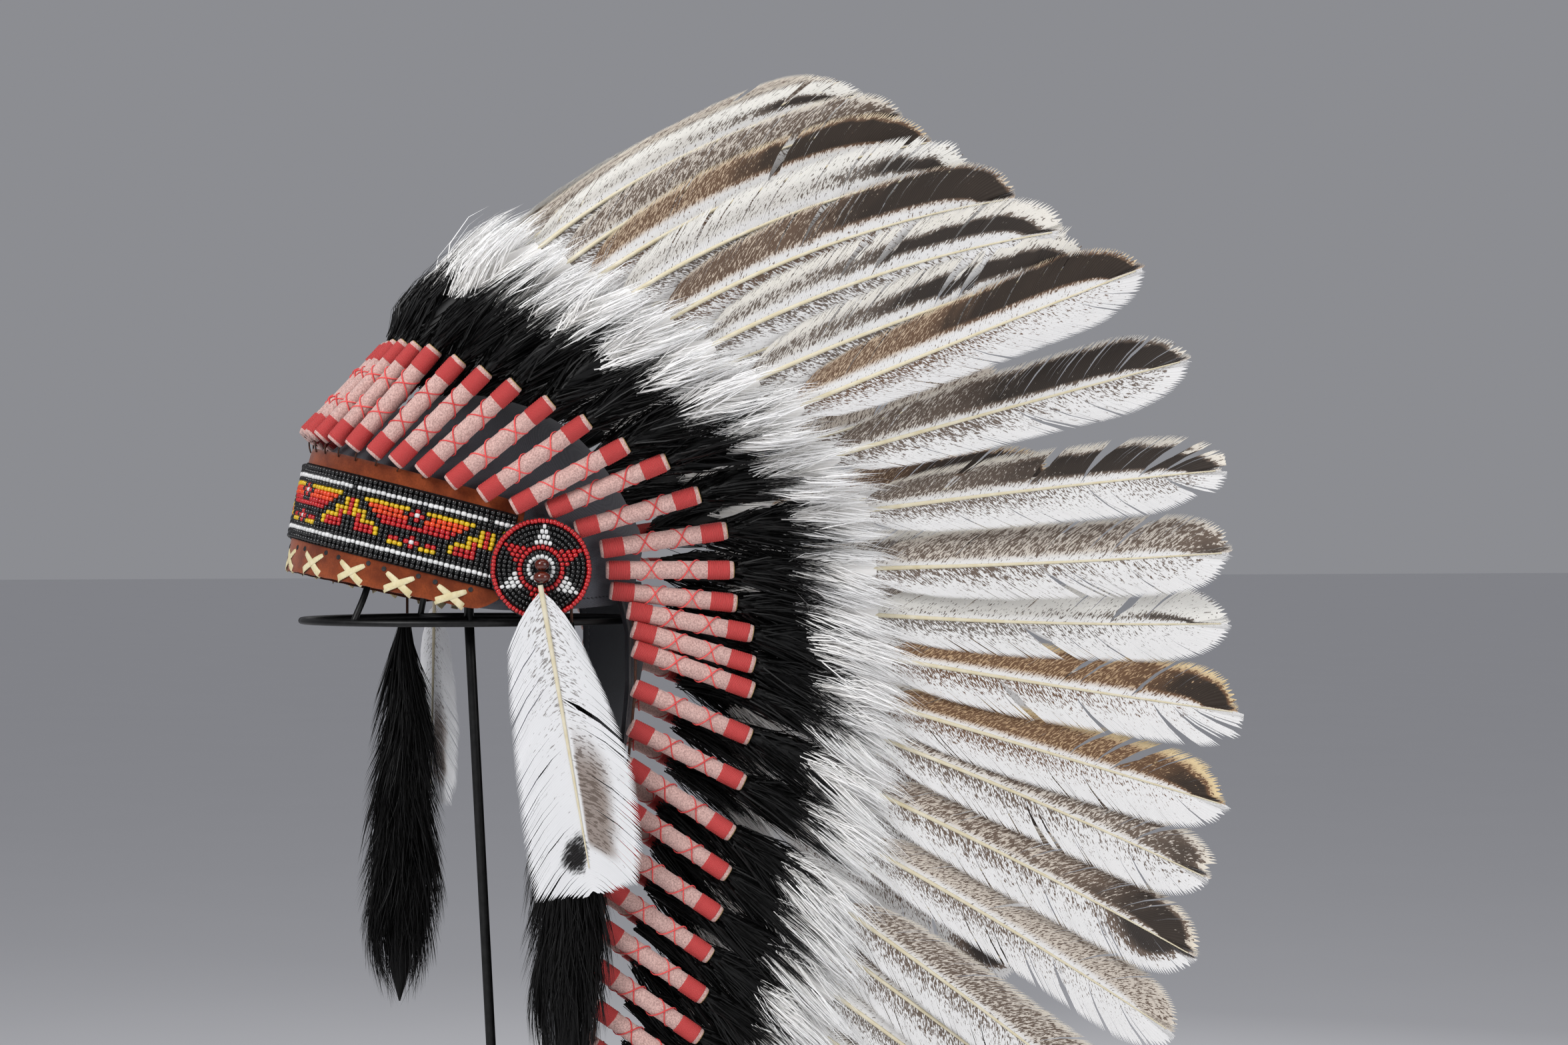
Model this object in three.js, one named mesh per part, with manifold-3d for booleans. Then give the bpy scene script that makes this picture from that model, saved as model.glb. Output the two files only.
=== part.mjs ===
// A feathered headdress on its wire stand. Millimetres, +Z up.
// The wearer faces -Y, and the wearer's left is +X.
// The origin is the middle of the underside of the stand's base.
import * as THREE from "three";
import { mergeVertices } from "three/addons/utils/BufferGeometryUtils.js";
import Module from "manifold-3d";

const wasm = await Module();
wasm.setup();

// ---------- driving dimensions ----------

const GAP = 0.3; // kept between pieces that touch

// The cap is worn tipped back. Its own frame has its origin in the middle of the rim, y to the back and z up.
const CAP = {
  halfLength: 105, // to the outside of the brow band
  halfWidth: 86,
  tilt: 12.5, // degrees, front up
  rimY: -41,
  rimZ: 657,
  wall: 2,
  crownRise: 128, // top of the dome over the rim plane
  shoulder: 62, // where the upright wall turns into the dome
  domePower: 2.3, // higher is a flatter top over steeper sides
  hem: 1.5, // the hem's height over the rim plane at the brow
  hemRise: 25, // how far it lifts at the back
};

// Ends are degrees round the head from the middle of the brow, and heights are over the rim plane.
const BAND = { wall: 2, end: 97, frontHeight: 74, sideHeight: 66, corner: 14, cornerStart: 84 };
const STRIP = { wall: 2.5, width: 44, end: 95, frontMiddle: 42.5, sideMiddle: 35.7 };

// The band sits a little turned on the head, so the left rosette is further back than the right one.
const ROSETTE = {
  radius: 29.5,
  thickness: 3,
  leftTurn: 104,
  rightTurn: 92,
  height: 31,
  standOff: 9.2,
  faces: 84, // the turn of its face from straight ahead
};
const GLASS_BEAD = { radius: 4.6, halfLength: 3.4, rise: 2.4 };

const SLEEVE = { radius: 5.2, length: 75, standOff: 5.6 };
const FEATHER_LENGTH = 371; // sleeve and vane

const STRAP = { halfWidth: 62, wall: 2.5 };
// The feathers stand a little behind the strap's edge, and their cord runs through the back of the sleeves.
const TRAILER = { count: 15, rowX: 70, behind: 3, cord: 1.4, cordBehind: 1.5, facing: 92, roll: -8 };

const STAND = {
  baseRadius: 140,
  baseThickness: 6,
  postRadius: 3,
  ringY: -33.6,
  ringZ: 649.5,
  ringHalfLength: 100,
  ringHalfWidth: 80,
  wire: 2, // radius of the ring, the spokes and the ribs
  hubZ: 764,
  ribTurns: [40, 160, 280],
};

// ---------- tables ----------

// Crown feathers by their turn round the cap from the middle of the brow, in degrees.
// height is the foot over the rim plane, rise the slope of the sleeve, and bend the turn from there to the tip.
// flare is the lean to the side, and facing the way that the vane looks, from straight ahead to straight out.
// roll turns the vane about its shaft: its front edge, or below zero its back edge, lies over its neighbour.
const CROWN = [
  { turn: 0, height: 80.5, rise: 46, bend: -28, flare: 0, facing: 0, roll: 10 },
  { turn: 18, height: 79.5, rise: 48, bend: -30, flare: 6.5, facing: 30, roll: 10 },
  { turn: 36, height: 77, rise: 50.5, bend: -38, flare: 9, facing: 55, roll: 10 },
  { turn: 62, height: 70.5, rise: 44, bend: -36, flare: 10.8, facing: 78, roll: 10 },
  { turn: 82, height: 64.5, rise: 36, bend: -27, flare: 11.8, facing: 88, roll: 10 },
  { turn: 92, height: 62, rise: 29.5, bend: -15, flare: 12.2, facing: 90, roll: 10 },
  { turn: 103, height: 64.5, rise: 23.5, bend: -1, flare: 14.8, facing: 91, roll: 0 },
  { turn: 113.5, height: 57.5, rise: 16.4, bend: -1, flare: 12, facing: 92, roll: -9 },
  { turn: 124.5, height: 50, rise: 8.6, bend: -3, flare: 10.5, facing: 92, roll: -9 },
  { turn: 129, height: 39, rise: 0, bend: 4, flare: 9.5, facing: 92, roll: -9 },
  { turn: 133, height: 28, rise: -6, bend: 7, flare: 8.5, facing: 92, roll: -9 },
];
const CROWN_TURNS = [9, 18, 27, 36, 45, 53.5, 62.5, 72, 82, 92, 103, 113.5, 124.5, 129, 133];

// Trailer feathers by their place down the row: z is the height of the foot.
const TRAIL = [
  { place: 0, z: 656.5, rise: -11, bend: 3, flare: 9 },
  { place: 1, z: 645.5, rise: -17, bend: 0, flare: 9 },
  { place: 2, z: 634, rise: -20, bend: -6, flare: 9 },
  { place: 4, z: 588, rise: -27, bend: -8, flare: 9 },
  { place: 5, z: 566, rise: -34, bend: -6, flare: 8 },
  { place: 14, z: 354, rise: -37, bend: -5, flare: 7 },
];

// The trailer strap from its foot: where its middle and its edges hang.
const STRAP_LINE = [
  { z: 300, middleY: 25, edgeY: 23 },
  { z: 400, middleY: 27, edgeY: 24 },
  { z: 445, middleY: 30, edgeY: 26 },
  { z: 490, middleY: 36, edgeY: 31 },
  { z: 540, middleY: 49, edgeY: 42 },
  { z: 580, middleY: 59, edgeY: 46 },
  { z: 610, middleY: 66, edgeY: 49 },
  { z: 643, middleY: 72, edgeY: 49 },
  { z: 655, middleY: 71, edgeY: 46 },
  { z: 672, middleY: 68.2, edgeY: 42 },
];

// A feather from its foot: half width and half thickness of the sleeve, the fur and the vane.
const FEATHER_SECTIONS = [
  { at: 0, half: 5.2, thick: 5.2 },
  { at: 75, half: 5.2, thick: 5.2 },
  { at: 84, half: 6.6, thick: 8 },
  { at: 172, half: 12, thick: 1.6 },
  { at: 215, half: 20.5, thick: 0.9 },
  { at: 325, half: 24.3, thick: 0.8 },
  { at: 371, half: 9, thick: 0.6 },
];

// A side feather from its quill: how far each vane reaches to the front and to the back of the shaft.
const SIDE_FEATHER = [
  { at: 0, front: 2, back: 2 },
  { at: 12, front: 12, back: 9 },
  { at: 40, front: 26, back: 21 },
  { at: 80, front: 30, back: 30 },
  { at: 120, front: 28, back: 36 },
  { at: 155, front: 27, back: 33 },
  { at: 180, front: 22, back: 22 },
  { at: 188, front: 10, back: 8 },
];

// A fur drop from its thong: half width along the head and half thickness across it.
const FUR_DROP = [
  { at: 0, half: 5, thick: 4 },
  { at: 30, half: 10, thick: 5.5 },
  { at: 110, half: 17, thick: 7 },
  { at: 200, half: 21, thick: 7 },
  { at: 245, half: 15, thick: 5 },
  { at: 268, half: 5, thick: 2.5 },
];

// ---------- helpers ----------

const rad = THREE.MathUtils.degToRad;
const v3 = (x, y, z) => new THREE.Vector3(x, y, z);

// The row of a table at a key, read straight between its rows.
function between(table, key, at) {
  let i = table.findIndex((row) => row[key] >= at);
  i = i < 0 ? table.length - 1 : Math.max(i, 1);
  const a = table[i - 1];
  const b = table[i];
  const t = THREE.MathUtils.clamp((at - a[key]) / (b[key] - a[key]), 0, 1);
  return Object.fromEntries(Object.keys(a).map((k) => [k, a[k] + (b[k] - a[k]) * t]));
}

function geometryOf(points, faces) {
  const g = new THREE.BufferGeometry();
  g.setAttribute("position", new THREE.Float32BufferAttribute(points.flatMap((p) => [p.x, p.y, p.z]), 3));
  g.setIndex(faces.flat());
  g.computeVertexNormals();
  return g;
}

// A closed solid through rings of points that all run the same way round, with flat ends.
function loft(rings) {
  const n = rings[0].length;
  const faces = [];
  for (let r = 0; r + 1 < rings.length; r++)
    for (let i = 0; i < n; i++) {
      const a = r * n + i;
      const b = r * n + ((i + 1) % n);
      faces.push([a, b, b + n], [a, b + n, a + n]);
    }
  const last = (rings.length - 1) * n;
  for (let i = 1; i + 1 < n; i++) faces.push([0, i + 1, i], [last, last + i, last + i + 1]);
  return geometryOf(rings.flat(), faces);
}

// A closed sheet with a thickness: place(u, v, side) gives a point of its face, side 0 inside and 1 outside.
function sheet(columns, rows, place) {
  const points = [];
  const faces = [];
  const id = (u, v, side) => (side * (rows + 1) + v) * (columns + 1) + u;
  for (const side of [0, 1])
    for (let v = 0; v <= rows; v++)
      for (let u = 0; u <= columns; u++) points.push(place(u / columns, v / rows, side));
  const quad = (a, b, c, d) => faces.push([a, b, c], [a, c, d]);
  for (let v = 0; v < rows; v++)
    for (let u = 0; u < columns; u++) {
      quad(id(u, v, 1), id(u + 1, v, 1), id(u + 1, v + 1, 1), id(u, v + 1, 1));
      quad(id(u, v, 0), id(u, v + 1, 0), id(u + 1, v + 1, 0), id(u + 1, v, 0));
    }
  for (let u = 0; u < columns; u++) {
    quad(id(u, 0, 0), id(u + 1, 0, 0), id(u + 1, 0, 1), id(u, 0, 1));
    quad(id(u, rows, 1), id(u + 1, rows, 1), id(u + 1, rows, 0), id(u, rows, 0));
  }
  for (let v = 0; v < rows; v++) {
    quad(id(0, v, 1), id(0, v + 1, 1), id(0, v + 1, 0), id(0, v, 0));
    quad(id(columns, v, 0), id(columns, v + 1, 0), id(columns, v + 1, 1), id(columns, v, 1));
  }
  return geometryOf(points, faces);
}

function solidOf(geometry) {
  const bare = geometry.clone();
  bare.deleteAttribute("normal");
  bare.deleteAttribute("uv");
  const merged = mergeVertices(bare, 1e-4);
  const triVerts = new Uint32Array(merged.index.array);
  const vertProperties = merged.attributes.position.array;
  return new wasm.Manifold(new wasm.Mesh({ numProp: 3, vertProperties, triVerts }));
}

function joined(geometries) {
  const mesh = geometries
    .map(solidOf)
    .reduce((whole, part) => whole.add(part))
    .getMesh();
  const g = new THREE.BufferGeometry();
  g.setAttribute("position", new THREE.BufferAttribute(new Float32Array(mesh.vertProperties), 3));
  g.setIndex(Array.from(mesh.triVerts));
  g.computeVertexNormals();
  return g;
}

// A round bar along a curve.
function bar(curve, radius, sides, steps) {
  const shape = new THREE.Shape();
  for (let i = 0; i < sides; i++) {
    const a = (i / sides) * 2 * Math.PI;
    shape[i ? "lineTo" : "moveTo"](radius * Math.cos(a), radius * Math.sin(a));
  }
  shape.closePath();
  return new THREE.ExtrudeGeometry(shape, { steps, bevelEnabled: false, extrudePath: curve });
}

const straightBar = (from, to, radius, sides) => bar(new THREE.LineCurve3(from, to), radius, sides, 1);

// ---------- the cap's surfaces ----------

// The plan of the head at a turn from the brow, out by a stand-off, in the cap's own frame.
function onHead(turn, out, height) {
  const t = rad(turn);
  return v3((CAP.halfWidth + out) * Math.sin(t), -(CAP.halfLength + out) * Math.cos(t), height);
}

// From the cap's own frame to the headdress's.
function worn(p) {
  const t = rad(CAP.tilt);
  return v3(
    p.x,
    CAP.rimY + p.y * Math.cos(t) + p.z * Math.sin(t),
    CAP.rimZ - p.y * Math.sin(t) + p.z * Math.cos(t),
  );
}

const sideShare = (turn) => Math.min(Math.abs(turn) / 95, 1);
const mix = THREE.MathUtils.lerp;
const bandTop = (turn) => mix(BAND.frontHeight, BAND.sideHeight, sideShare(turn) ** 1.5);
const stripMiddle = (turn) => mix(STRIP.frontMiddle, STRIP.sideMiddle, sideShare(turn));
const hem = (turn) => CAP.hem + CAP.hemRise * Math.max(0, -Math.cos(rad(turn))) ** 1.3;

function cap() {
  const columns = 30;
  const rows = 6;
  const points = [];
  const faces = [];
  for (const inside of [false, true]) {
    const out = -BAND.wall - GAP - (inside ? CAP.wall : 0);
    const top = CAP.crownRise - (inside ? CAP.wall : 0);
    for (let r = 0; r < rows; r++) {
      for (let c = 0; c < columns; c++) {
        const turn = (c / columns) * 360;
        if (r < 2) {
          points.push(onHead(turn, out, r ? CAP.shoulder : hem(turn)));
          continue;
        }
        const slope = ((r - 1) / (rows - 1)) * 90;
        const reach = Math.cos(rad(slope));
        const edge = onHead(turn, out, 0);
        const z = CAP.shoulder + (top - CAP.shoulder) * (1 - reach ** CAP.domePower);
        points.push(v3(edge.x * reach, edge.y * reach, z));
      }
    }
  }
  const ring = (level, c) => level * columns + (c % columns);
  const outerPole = points.push(v3(0, 0, CAP.crownRise)) - 1;
  const innerPole = points.push(v3(0, 0, CAP.crownRise - CAP.wall)) - 1;
  for (let c = 0; c < columns; c++) {
    for (let r = 0; r + 1 < rows; r++) {
      const [a, b] = [ring(r, c), ring(r, c + 1)];
      const [d, e] = [ring(r + 1, c), ring(r + 1, c + 1)];
      faces.push([a, b, e], [a, e, d]);
      const [i, j] = [ring(rows + r, c), ring(rows + r, c + 1)];
      const [k, l] = [ring(rows + r + 1, c), ring(rows + r + 1, c + 1)];
      faces.push([i, l, j], [i, k, l]);
    }
    faces.push([ring(rows - 1, c), ring(rows - 1, c + 1), outerPole]);
    faces.push([ring(2 * rows - 1, c + 1), ring(2 * rows - 1, c), innerPole]);
    faces.push([ring(0, c + 1), ring(0, c), ring(rows, c)]);
    faces.push([ring(0, c + 1), ring(rows, c), ring(rows, c + 1)]);
  }
  return geometryOf(points.map(worn), faces);
}

// A strip of the head's plan between two turns, from a lower to an upper edge.
function headStrip(end, out, wall, low, high) {
  return sheet(28, 1, (u, v, side) => {
    const turn = mix(-end, end, u);
    return worn(onHead(turn, out + side * wall, v ? high(turn) : low(turn)));
  });
}

function browBand() {
  const { end, corner, cornerStart } = BAND;
  const low = (turn) => corner * Math.max(0, (Math.abs(turn) - cornerStart) / (end - cornerStart)) ** 2.5;
  return headStrip(BAND.end, -BAND.wall, BAND.wall, low, bandTop);
}

function beadStrip() {
  const low = (turn) => stripMiddle(turn) - STRIP.width / 2;
  const high = (turn) => stripMiddle(turn) + STRIP.width / 2;
  return headStrip(STRIP.end, GAP, STRIP.wall, low, high);
}

// ---------- rosettes and what hangs from them ----------

// side is 1 on the wearer's left and -1 on the right.
function rosettePlace(side) {
  const turn = side > 0 ? ROSETTE.leftTurn : ROSETTE.rightTurn;
  const p = worn(onHead(turn, ROSETTE.standOff, ROSETTE.height));
  return v3(side * p.x, p.y, p.z);
}

// Straight out from a rosette's face.
const rosetteFaces = (side) => v3(side * Math.sin(rad(ROSETTE.faces)), -Math.cos(rad(ROSETTE.faces)), 0);

function turnedTo(geometry, direction, place) {
  const turn = new THREE.Quaternion().setFromUnitVectors(v3(0, 1, 0), direction.clone().normalize());
  return geometry.applyQuaternion(turn).translate(place.x, place.y, place.z);
}

function rosette(side) {
  const { radius, thickness } = ROSETTE;
  const profile = [
    [0, 0],
    [radius - 0.6, 0],
    [radius, 0.8],
    [radius, 1.6],
    [radius - 1.2, thickness - 0.3],
    [0, thickness],
  ];
  const disc = new THREE.LatheGeometry(profile.map(([x, y]) => new THREE.Vector2(x, y)), 24);
  return turnedTo(disc, rosetteFaces(side), rosettePlace(side));
}

// The two glass beads sit one above the other on the thong, against the rosette's face.
function glassBead(side, row) {
  const { radius, halfLength } = GLASS_BEAD;
  const profile = [
    [0, -halfLength],
    [radius * 0.62, -halfLength],
    [radius, -halfLength * 0.35],
    [radius, halfLength * 0.35],
    [radius * 0.62, halfLength],
    [0, halfLength],
  ];
  const bead = new THREE.LatheGeometry(profile.map(([x, y]) => new THREE.Vector2(x, y)), 10);
  const out = ROSETTE.thickness + radius + GAP;
  const place = rosettePlace(side).addScaledVector(rosetteFaces(side), out);
  place.z += GLASS_BEAD.rise - row * (2 * halfLength + GAP);
  return turnedTo(bead, v3(0, 0, 1), place);
}

// A six-sided section across a direction: half widths to each side and a half thickness.
function section(middle, across, through, left, right, thick) {
  return [0, 1, 2, 3, 4, 5].map((i) => {
    const x = Math.cos((i * Math.PI) / 3);
    const y = Math.sin((i * Math.PI) / 3);
    const reach = x > 0 ? right : left;
    return middle.clone().addScaledVector(across, x * reach).addScaledVector(through, y * thick);
  });
}

// What hangs at a side: a line from its thong, a way it leans and the way its face looks.
const HANGING = {
  side_feather_left: { from: [100, -9, 672], lean: [0, 0.175, -1], looks: [1, -0.12, 0], share: 1 },
  side_feather_right: { from: [-103, -38, 660], lean: [0, -0.02, -1], looks: [0.26, -0.97, 0], share: 0.72 },
  fur_drop_left: { from: [86, 12, 650], lean: [0, -0.01, -1], looks: [1, 0, 0], share: 1 },
  fur_drop_right: { from: [-86.5, -58, 650], lean: [0, -0.02, -1], looks: [1, 0, 0], share: 0.9 },
};

function hanging({ from, lean, looks, share }, table, widths) {
  const along = v3(...lean).normalize();
  const across = v3(...looks).cross(along).normalize();
  const through = along.clone().cross(across);
  const start = v3(...from);
  return loft(
    table.map((row) => {
      const middle = start.clone().addScaledVector(along, row.at * share);
      return section(middle, across, through, ...widths(row));
    }),
  );
}

const sideFeather = (name) =>
  hanging(HANGING[name], SIDE_FEATHER, (row) => [row.front, row.back, row.at < 150 ? 1 : 0.7]);

const furDrop = (name) => hanging(HANGING[name], FUR_DROP, (row) => [row.half, row.half, row.thick]);

// ---------- feathers ----------

// The middle line of a feather, as a function of the length from its foot, with the frame that it carries.
function featherLine({ foot, side, rise, bend, flare, facing, roll }) {
  const stretch = FEATHER_LENGTH - SLEEVE.length;
  const step = 5;
  const heading = (s) => {
    const past = Math.max(0, (s - SLEEVE.length) / stretch);
    const up = rad(rise + bend * past);
    const out = rad(flare + 4 * past * Math.min(flare / 8, 1));
    return v3(side * Math.sin(out), Math.cos(out) * Math.cos(up), Math.cos(out) * Math.sin(up));
  };
  return (s) => {
    const p = foot.clone();
    for (let at = 0; at < s; at += step) {
      const d = Math.min(step, s - at);
      p.addScaledVector(heading(at + d / 2), d);
    }
    const along = heading(s);
    const looks = v3(side * Math.sin(rad(facing)), -Math.cos(rad(facing)), 0);
    const across = along.clone().cross(looks).normalize().applyAxisAngle(along, side * rad(roll));
    return { p, across, through: along.clone().cross(across) };
  };
}

function feather(options) {
  const line = featherLine(options);
  return loft(
    FEATHER_SECTIONS.map(({ at, half, thick }) => {
      const { p, across, through } = line(at);
      return section(p, across, through, half, half, thick);
    }),
  );
}

function crownFeather(turn, side) {
  const row = between(CROWN, "turn", turn);
  const p = worn(onHead(turn, SLEEVE.standOff, row.height));
  return feather({ ...row, side, foot: v3(side * p.x, p.y, p.z), roll: turn ? row.roll : 0 });
}

// The feet of a trailer row stand just behind the strap's edge.
function trailerFoot(place, side) {
  const { z } = between(TRAIL, "place", place);
  return v3(side * TRAILER.rowX, between(STRAP_LINE, "z", z).edgeY + TRAILER.behind, z);
}

function trailerFeathers(side) {
  const places = Array.from({ length: TRAILER.count }, (_, i) => i);
  const feathers = places.map((place) => {
    const { facing, roll } = TRAILER;
    return feather({ ...between(TRAIL, "place", place), side, foot: trailerFoot(place, side), facing, roll });
  });
  const feet = places.map((place) => trailerFoot(place, side).add(v3(0, TRAILER.cordBehind, 0)));
  const cord = bar(new THREE.CatmullRomCurve3(feet), TRAILER.cord, 5, 14);
  return joined([cord, ...feathers]);
}

function trailerStrap() {
  const place = (u, v, side) => {
    const z = mix(STRAP_LINE.at(-1).z, STRAP_LINE[0].z, v);
    const row = between(STRAP_LINE, "z", z);
    const x = mix(-STRAP.halfWidth, STRAP.halfWidth, u);
    const y = mix(row.middleY, row.edgeY, (x / STRAP.halfWidth) ** 2);
    return v3(x, y + (side ? STRAP.wall : 0), z);
  };
  return sheet(8, 11, place);
}

// ---------- stand ----------

function stand() {
  const { baseRadius, baseThickness, postRadius, ringY, ringZ, wire, hubZ, ribTurns } = STAND;
  const { ringHalfLength, ringHalfWidth } = STAND;
  const edge = 1.5;
  const plate = [
    [0, 0],
    [baseRadius - edge, 0],
    [baseRadius, edge],
    [baseRadius, baseThickness - edge],
    [baseRadius - edge, baseThickness],
    [0, baseThickness],
  ].map(([x, y]) => new THREE.Vector2(x, y));
  const base = new THREE.LatheGeometry(plate, 32).rotateX(Math.PI / 2);
  const top = v3(0, ringY, ringZ);
  const hub = v3(0, ringY, hubZ);
  const post = straightBar(v3(0, 0, baseThickness - 1), top, postRadius, 8);
  const neck = straightBar(v3(0, ringY, ringZ - 2), hub, postRadius, 8);
  const ring = new THREE.TorusGeometry(ringHalfLength, wire, 6, 28)
    .scale(ringHalfWidth / ringHalfLength, 1, 1)
    .translate(0, ringY, ringZ);
  const wires = ribTurns.flatMap((turn) => {
    const foot = v3(ringHalfWidth * Math.sin(rad(turn)), -ringHalfLength * Math.cos(rad(turn)), 0);
    const at = (share, z) => v3(0, ringY, z).addScaledVector(foot, share);
    const path = new THREE.CatmullRomCurve3([
      at(1, ringZ),
      at(0.87, ringZ + 24),
      at(0.8, ringZ + 60),
      at(0.52, hubZ - 16),
      at(0.25, hubZ - 5),
      at(0, hubZ - 2),
    ]);
    return [bar(path, wire, 6, 8), straightBar(top, at(1, ringZ), wire, 6)];
  });
  return joined([base, post, neck, ring, ...wires]);
}

// ---------- materials and assembly ----------

const material = (color, roughness, metalness = 0) =>
  new THREE.MeshStandardMaterial({ color, roughness, metalness });

const finish = {
  capCloth: material("#35363a", 0.92),
  suede: material("#7d3417", 0.95),
  beadwork: material("#15120f", 0.35),
  rosette: material("#a81d1b", 0.35),
  glass: material("#3c120c", 0.12),
  feather: material("#d9d4c9", 0.75),
  blackFur: material("#0c0b0b", 0.8),
  steel: material("#131313", 0.5, 0.6),
};

const headdress = new THREE.Group();

function add(name, geometry, look) {
  const mesh = new THREE.Mesh(geometry, look);
  mesh.name = name;
  headdress.add(mesh);
}

add("cap", cap(), finish.capCloth);
add("brow_band", browBand(), finish.suede);
add("bead_strip", beadStrip(), finish.beadwork);

for (const [hand, side] of [["left", 1], ["right", -1]]) {
  add(`rosette_${hand}`, rosette(side), finish.rosette);
  add(`glass_bead_${hand}_upper`, glassBead(side, 0), finish.glass);
  add(`glass_bead_${hand}_lower`, glassBead(side, 1), finish.glass);
  add(`side_feather_${hand}`, sideFeather(`side_feather_${hand}`), finish.feather);
  add(`fur_drop_${hand}`, furDrop(`fur_drop_${hand}`), finish.blackFur);
  CROWN_TURNS.forEach((turn, i) => {
    const number = String(i + 1).padStart(2, "0");
    add(`feather_${hand}_${number}`, crownFeather(turn, side), finish.feather);
  });
  add(`trailer_feathers_${hand}`, trailerFeathers(side), finish.feather);
}
add("feather_centre", crownFeather(0, 1), finish.feather);
add("trailer_strap", trailerStrap(), finish.capCloth);
add("stand", stand(), finish.steel);

export default headdress;
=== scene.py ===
"""A feathered headdress on its wire stand: the finished surfaces round its fixed frame.

The scene is in metres, +Z up. The wearer faces -Y, and the wearer's left is +X.
The tables below are in millimetres, and a piece turns them into metres as it is made.
"""

import math

import bpy
import numpy as np
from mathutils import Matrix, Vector


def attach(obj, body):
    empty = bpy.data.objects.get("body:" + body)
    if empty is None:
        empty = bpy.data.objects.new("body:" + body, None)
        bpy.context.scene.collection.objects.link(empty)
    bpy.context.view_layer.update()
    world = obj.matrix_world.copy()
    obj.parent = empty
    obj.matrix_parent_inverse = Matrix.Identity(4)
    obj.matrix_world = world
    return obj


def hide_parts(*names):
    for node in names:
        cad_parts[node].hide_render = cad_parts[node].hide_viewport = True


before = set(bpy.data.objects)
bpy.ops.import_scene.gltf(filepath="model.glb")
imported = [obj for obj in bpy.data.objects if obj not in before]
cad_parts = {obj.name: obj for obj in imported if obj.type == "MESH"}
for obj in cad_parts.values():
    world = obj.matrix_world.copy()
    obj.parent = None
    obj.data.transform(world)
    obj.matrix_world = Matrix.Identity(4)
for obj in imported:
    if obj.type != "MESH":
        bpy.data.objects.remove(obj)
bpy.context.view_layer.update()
MM = 0.001
chance = np.random.default_rng(11)

# ---------- the frame's dimensions ----------

CAP_WIDTH, CAP_LENGTH = 86, 105  # half sizes, to the outside of the brow band
CAP_TILT = math.radians(12.5)
RIM_Y, RIM_Z = -41, 657
CAP_WALL, CAP_GAP, CROWN_RISE, SHOULDER, DOME_POWER = 2, 2.3, 128, 62, 2.3
BAND_END, BAND_WALL = 97, 2
STRIP_END, STRIP_WIDTH = 95, 44
ROSETTE_HEIGHT, ROSETTE_OUT, ROSETTE_FACES = 31, 9.2, math.radians(84)
ROSETTE_TURN = {1: 104, -1: 92}
SLEEVE_RADIUS, SLEEVE_LENGTH, SLEEVE_OUT = 5.2, 75, 5.6
FEATHER_LENGTH = 371

# turn, height, rise, bend, flare, facing, roll
CROWN = np.array([
    (0, 80.5, 46, -28, 0, 0, 10),
    (18, 79.5, 48, -30, 6.5, 30, 10),
    (36, 77, 50.5, -38, 9, 55, 10),
    (62, 70.5, 44, -36, 10.8, 78, 10),
    (82, 64.5, 36, -27, 11.8, 88, 10),
    (92, 62, 29.5, -15, 12.2, 90, 10),
    (103, 64.5, 23.5, -1, 14.8, 91, 0),
    (113.5, 57.5, 16.4, -1, 12, 92, -9),
    (124.5, 50, 8.6, -3, 10.5, 92, -9),
    (129, 39, 0, 4, 9.5, 92, -9),
    (133, 28, -6, 7, 8.5, 92, -9),
])
CROWN_TURNS = [9, 18, 27, 36, 45, 53.5, 62.5, 72, 82, 92, 103, 113.5, 124.5, 129, 133]

# place down the row, height of the foot, rise, bend, flare
TRAIL = np.array([
    (0, 656.5, -11, 3, 9),
    (1, 645.5, -17, 0, 9),
    (2, 634, -20, -6, 9),
    (4, 588, -27, -8, 9),
    (5, 566, -34, -6, 8),
    (14, 354, -37, -5, 7),
])
TRAIL_COUNT, TRAIL_X, TRAIL_BEHIND, TRAIL_FACING, TRAIL_ROLL = 15, 70, 3, 92, -8

# height, how far back the strap's middle hangs, how far back its edges hang
STRAP_LINE = np.array([
    (300, 25, 23),
    (400, 27, 24),
    (445, 30, 26),
    (490, 36, 31),
    (540, 49, 42),
    (580, 59, 46),
    (610, 66, 49),
    (643, 72, 49),
    (655, 71, 46),
    (672, 68.2, 42),
])
STRAP_HALF, STRAP_WALL = 62, 2.5

# distance from the thong, half width and half thickness
FUR_DROP = np.array([
    (0, 5, 4),
    (30, 10, 5.5),
    (110, 17, 7),
    (200, 21, 7),
    (245, 15, 5),
    (268, 5, 2.5),
])
# a start, a lean, the way that the face looks and a share of the full length
HANGING = {
    "side_feather_left": ((100, -9, 672), (0, 0.175, -1), (1, -0.12, 0), 1),
    "side_feather_right": ((-103, -38, 660), (0, -0.02, -1), (0.26, -0.97, 0), 0.72),
    "fur_drop_left": ((86, 12, 650), (0, -0.01, -1), (1, 0, 0), 1),
    "fur_drop_right": ((-86.5, -58, 650), (0, -0.02, -1), (1, 0, 0), 0.9),
}
HANGING_LENGTH = 280

# ---------- points and frames, in millimetres ----------


def unit(vectors):
    return vectors / np.linalg.norm(vectors, axis=-1, keepdims=True)


def read(table, at):
    """A table's row at a value of its first column, straight between its rows."""
    return [np.interp(at, table[:, 0], column) for column in table.T[1:]]


def on_head(turn, out, height):
    """The plan of the head at a turn from the brow, in the cap's own frame."""
    t = np.radians(turn)
    x = (CAP_WIDTH + out) * np.sin(t)
    y = -(CAP_LENGTH + out) * np.cos(t)
    return np.stack(np.broadcast_arrays(x, y, height), -1).astype(float)


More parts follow.
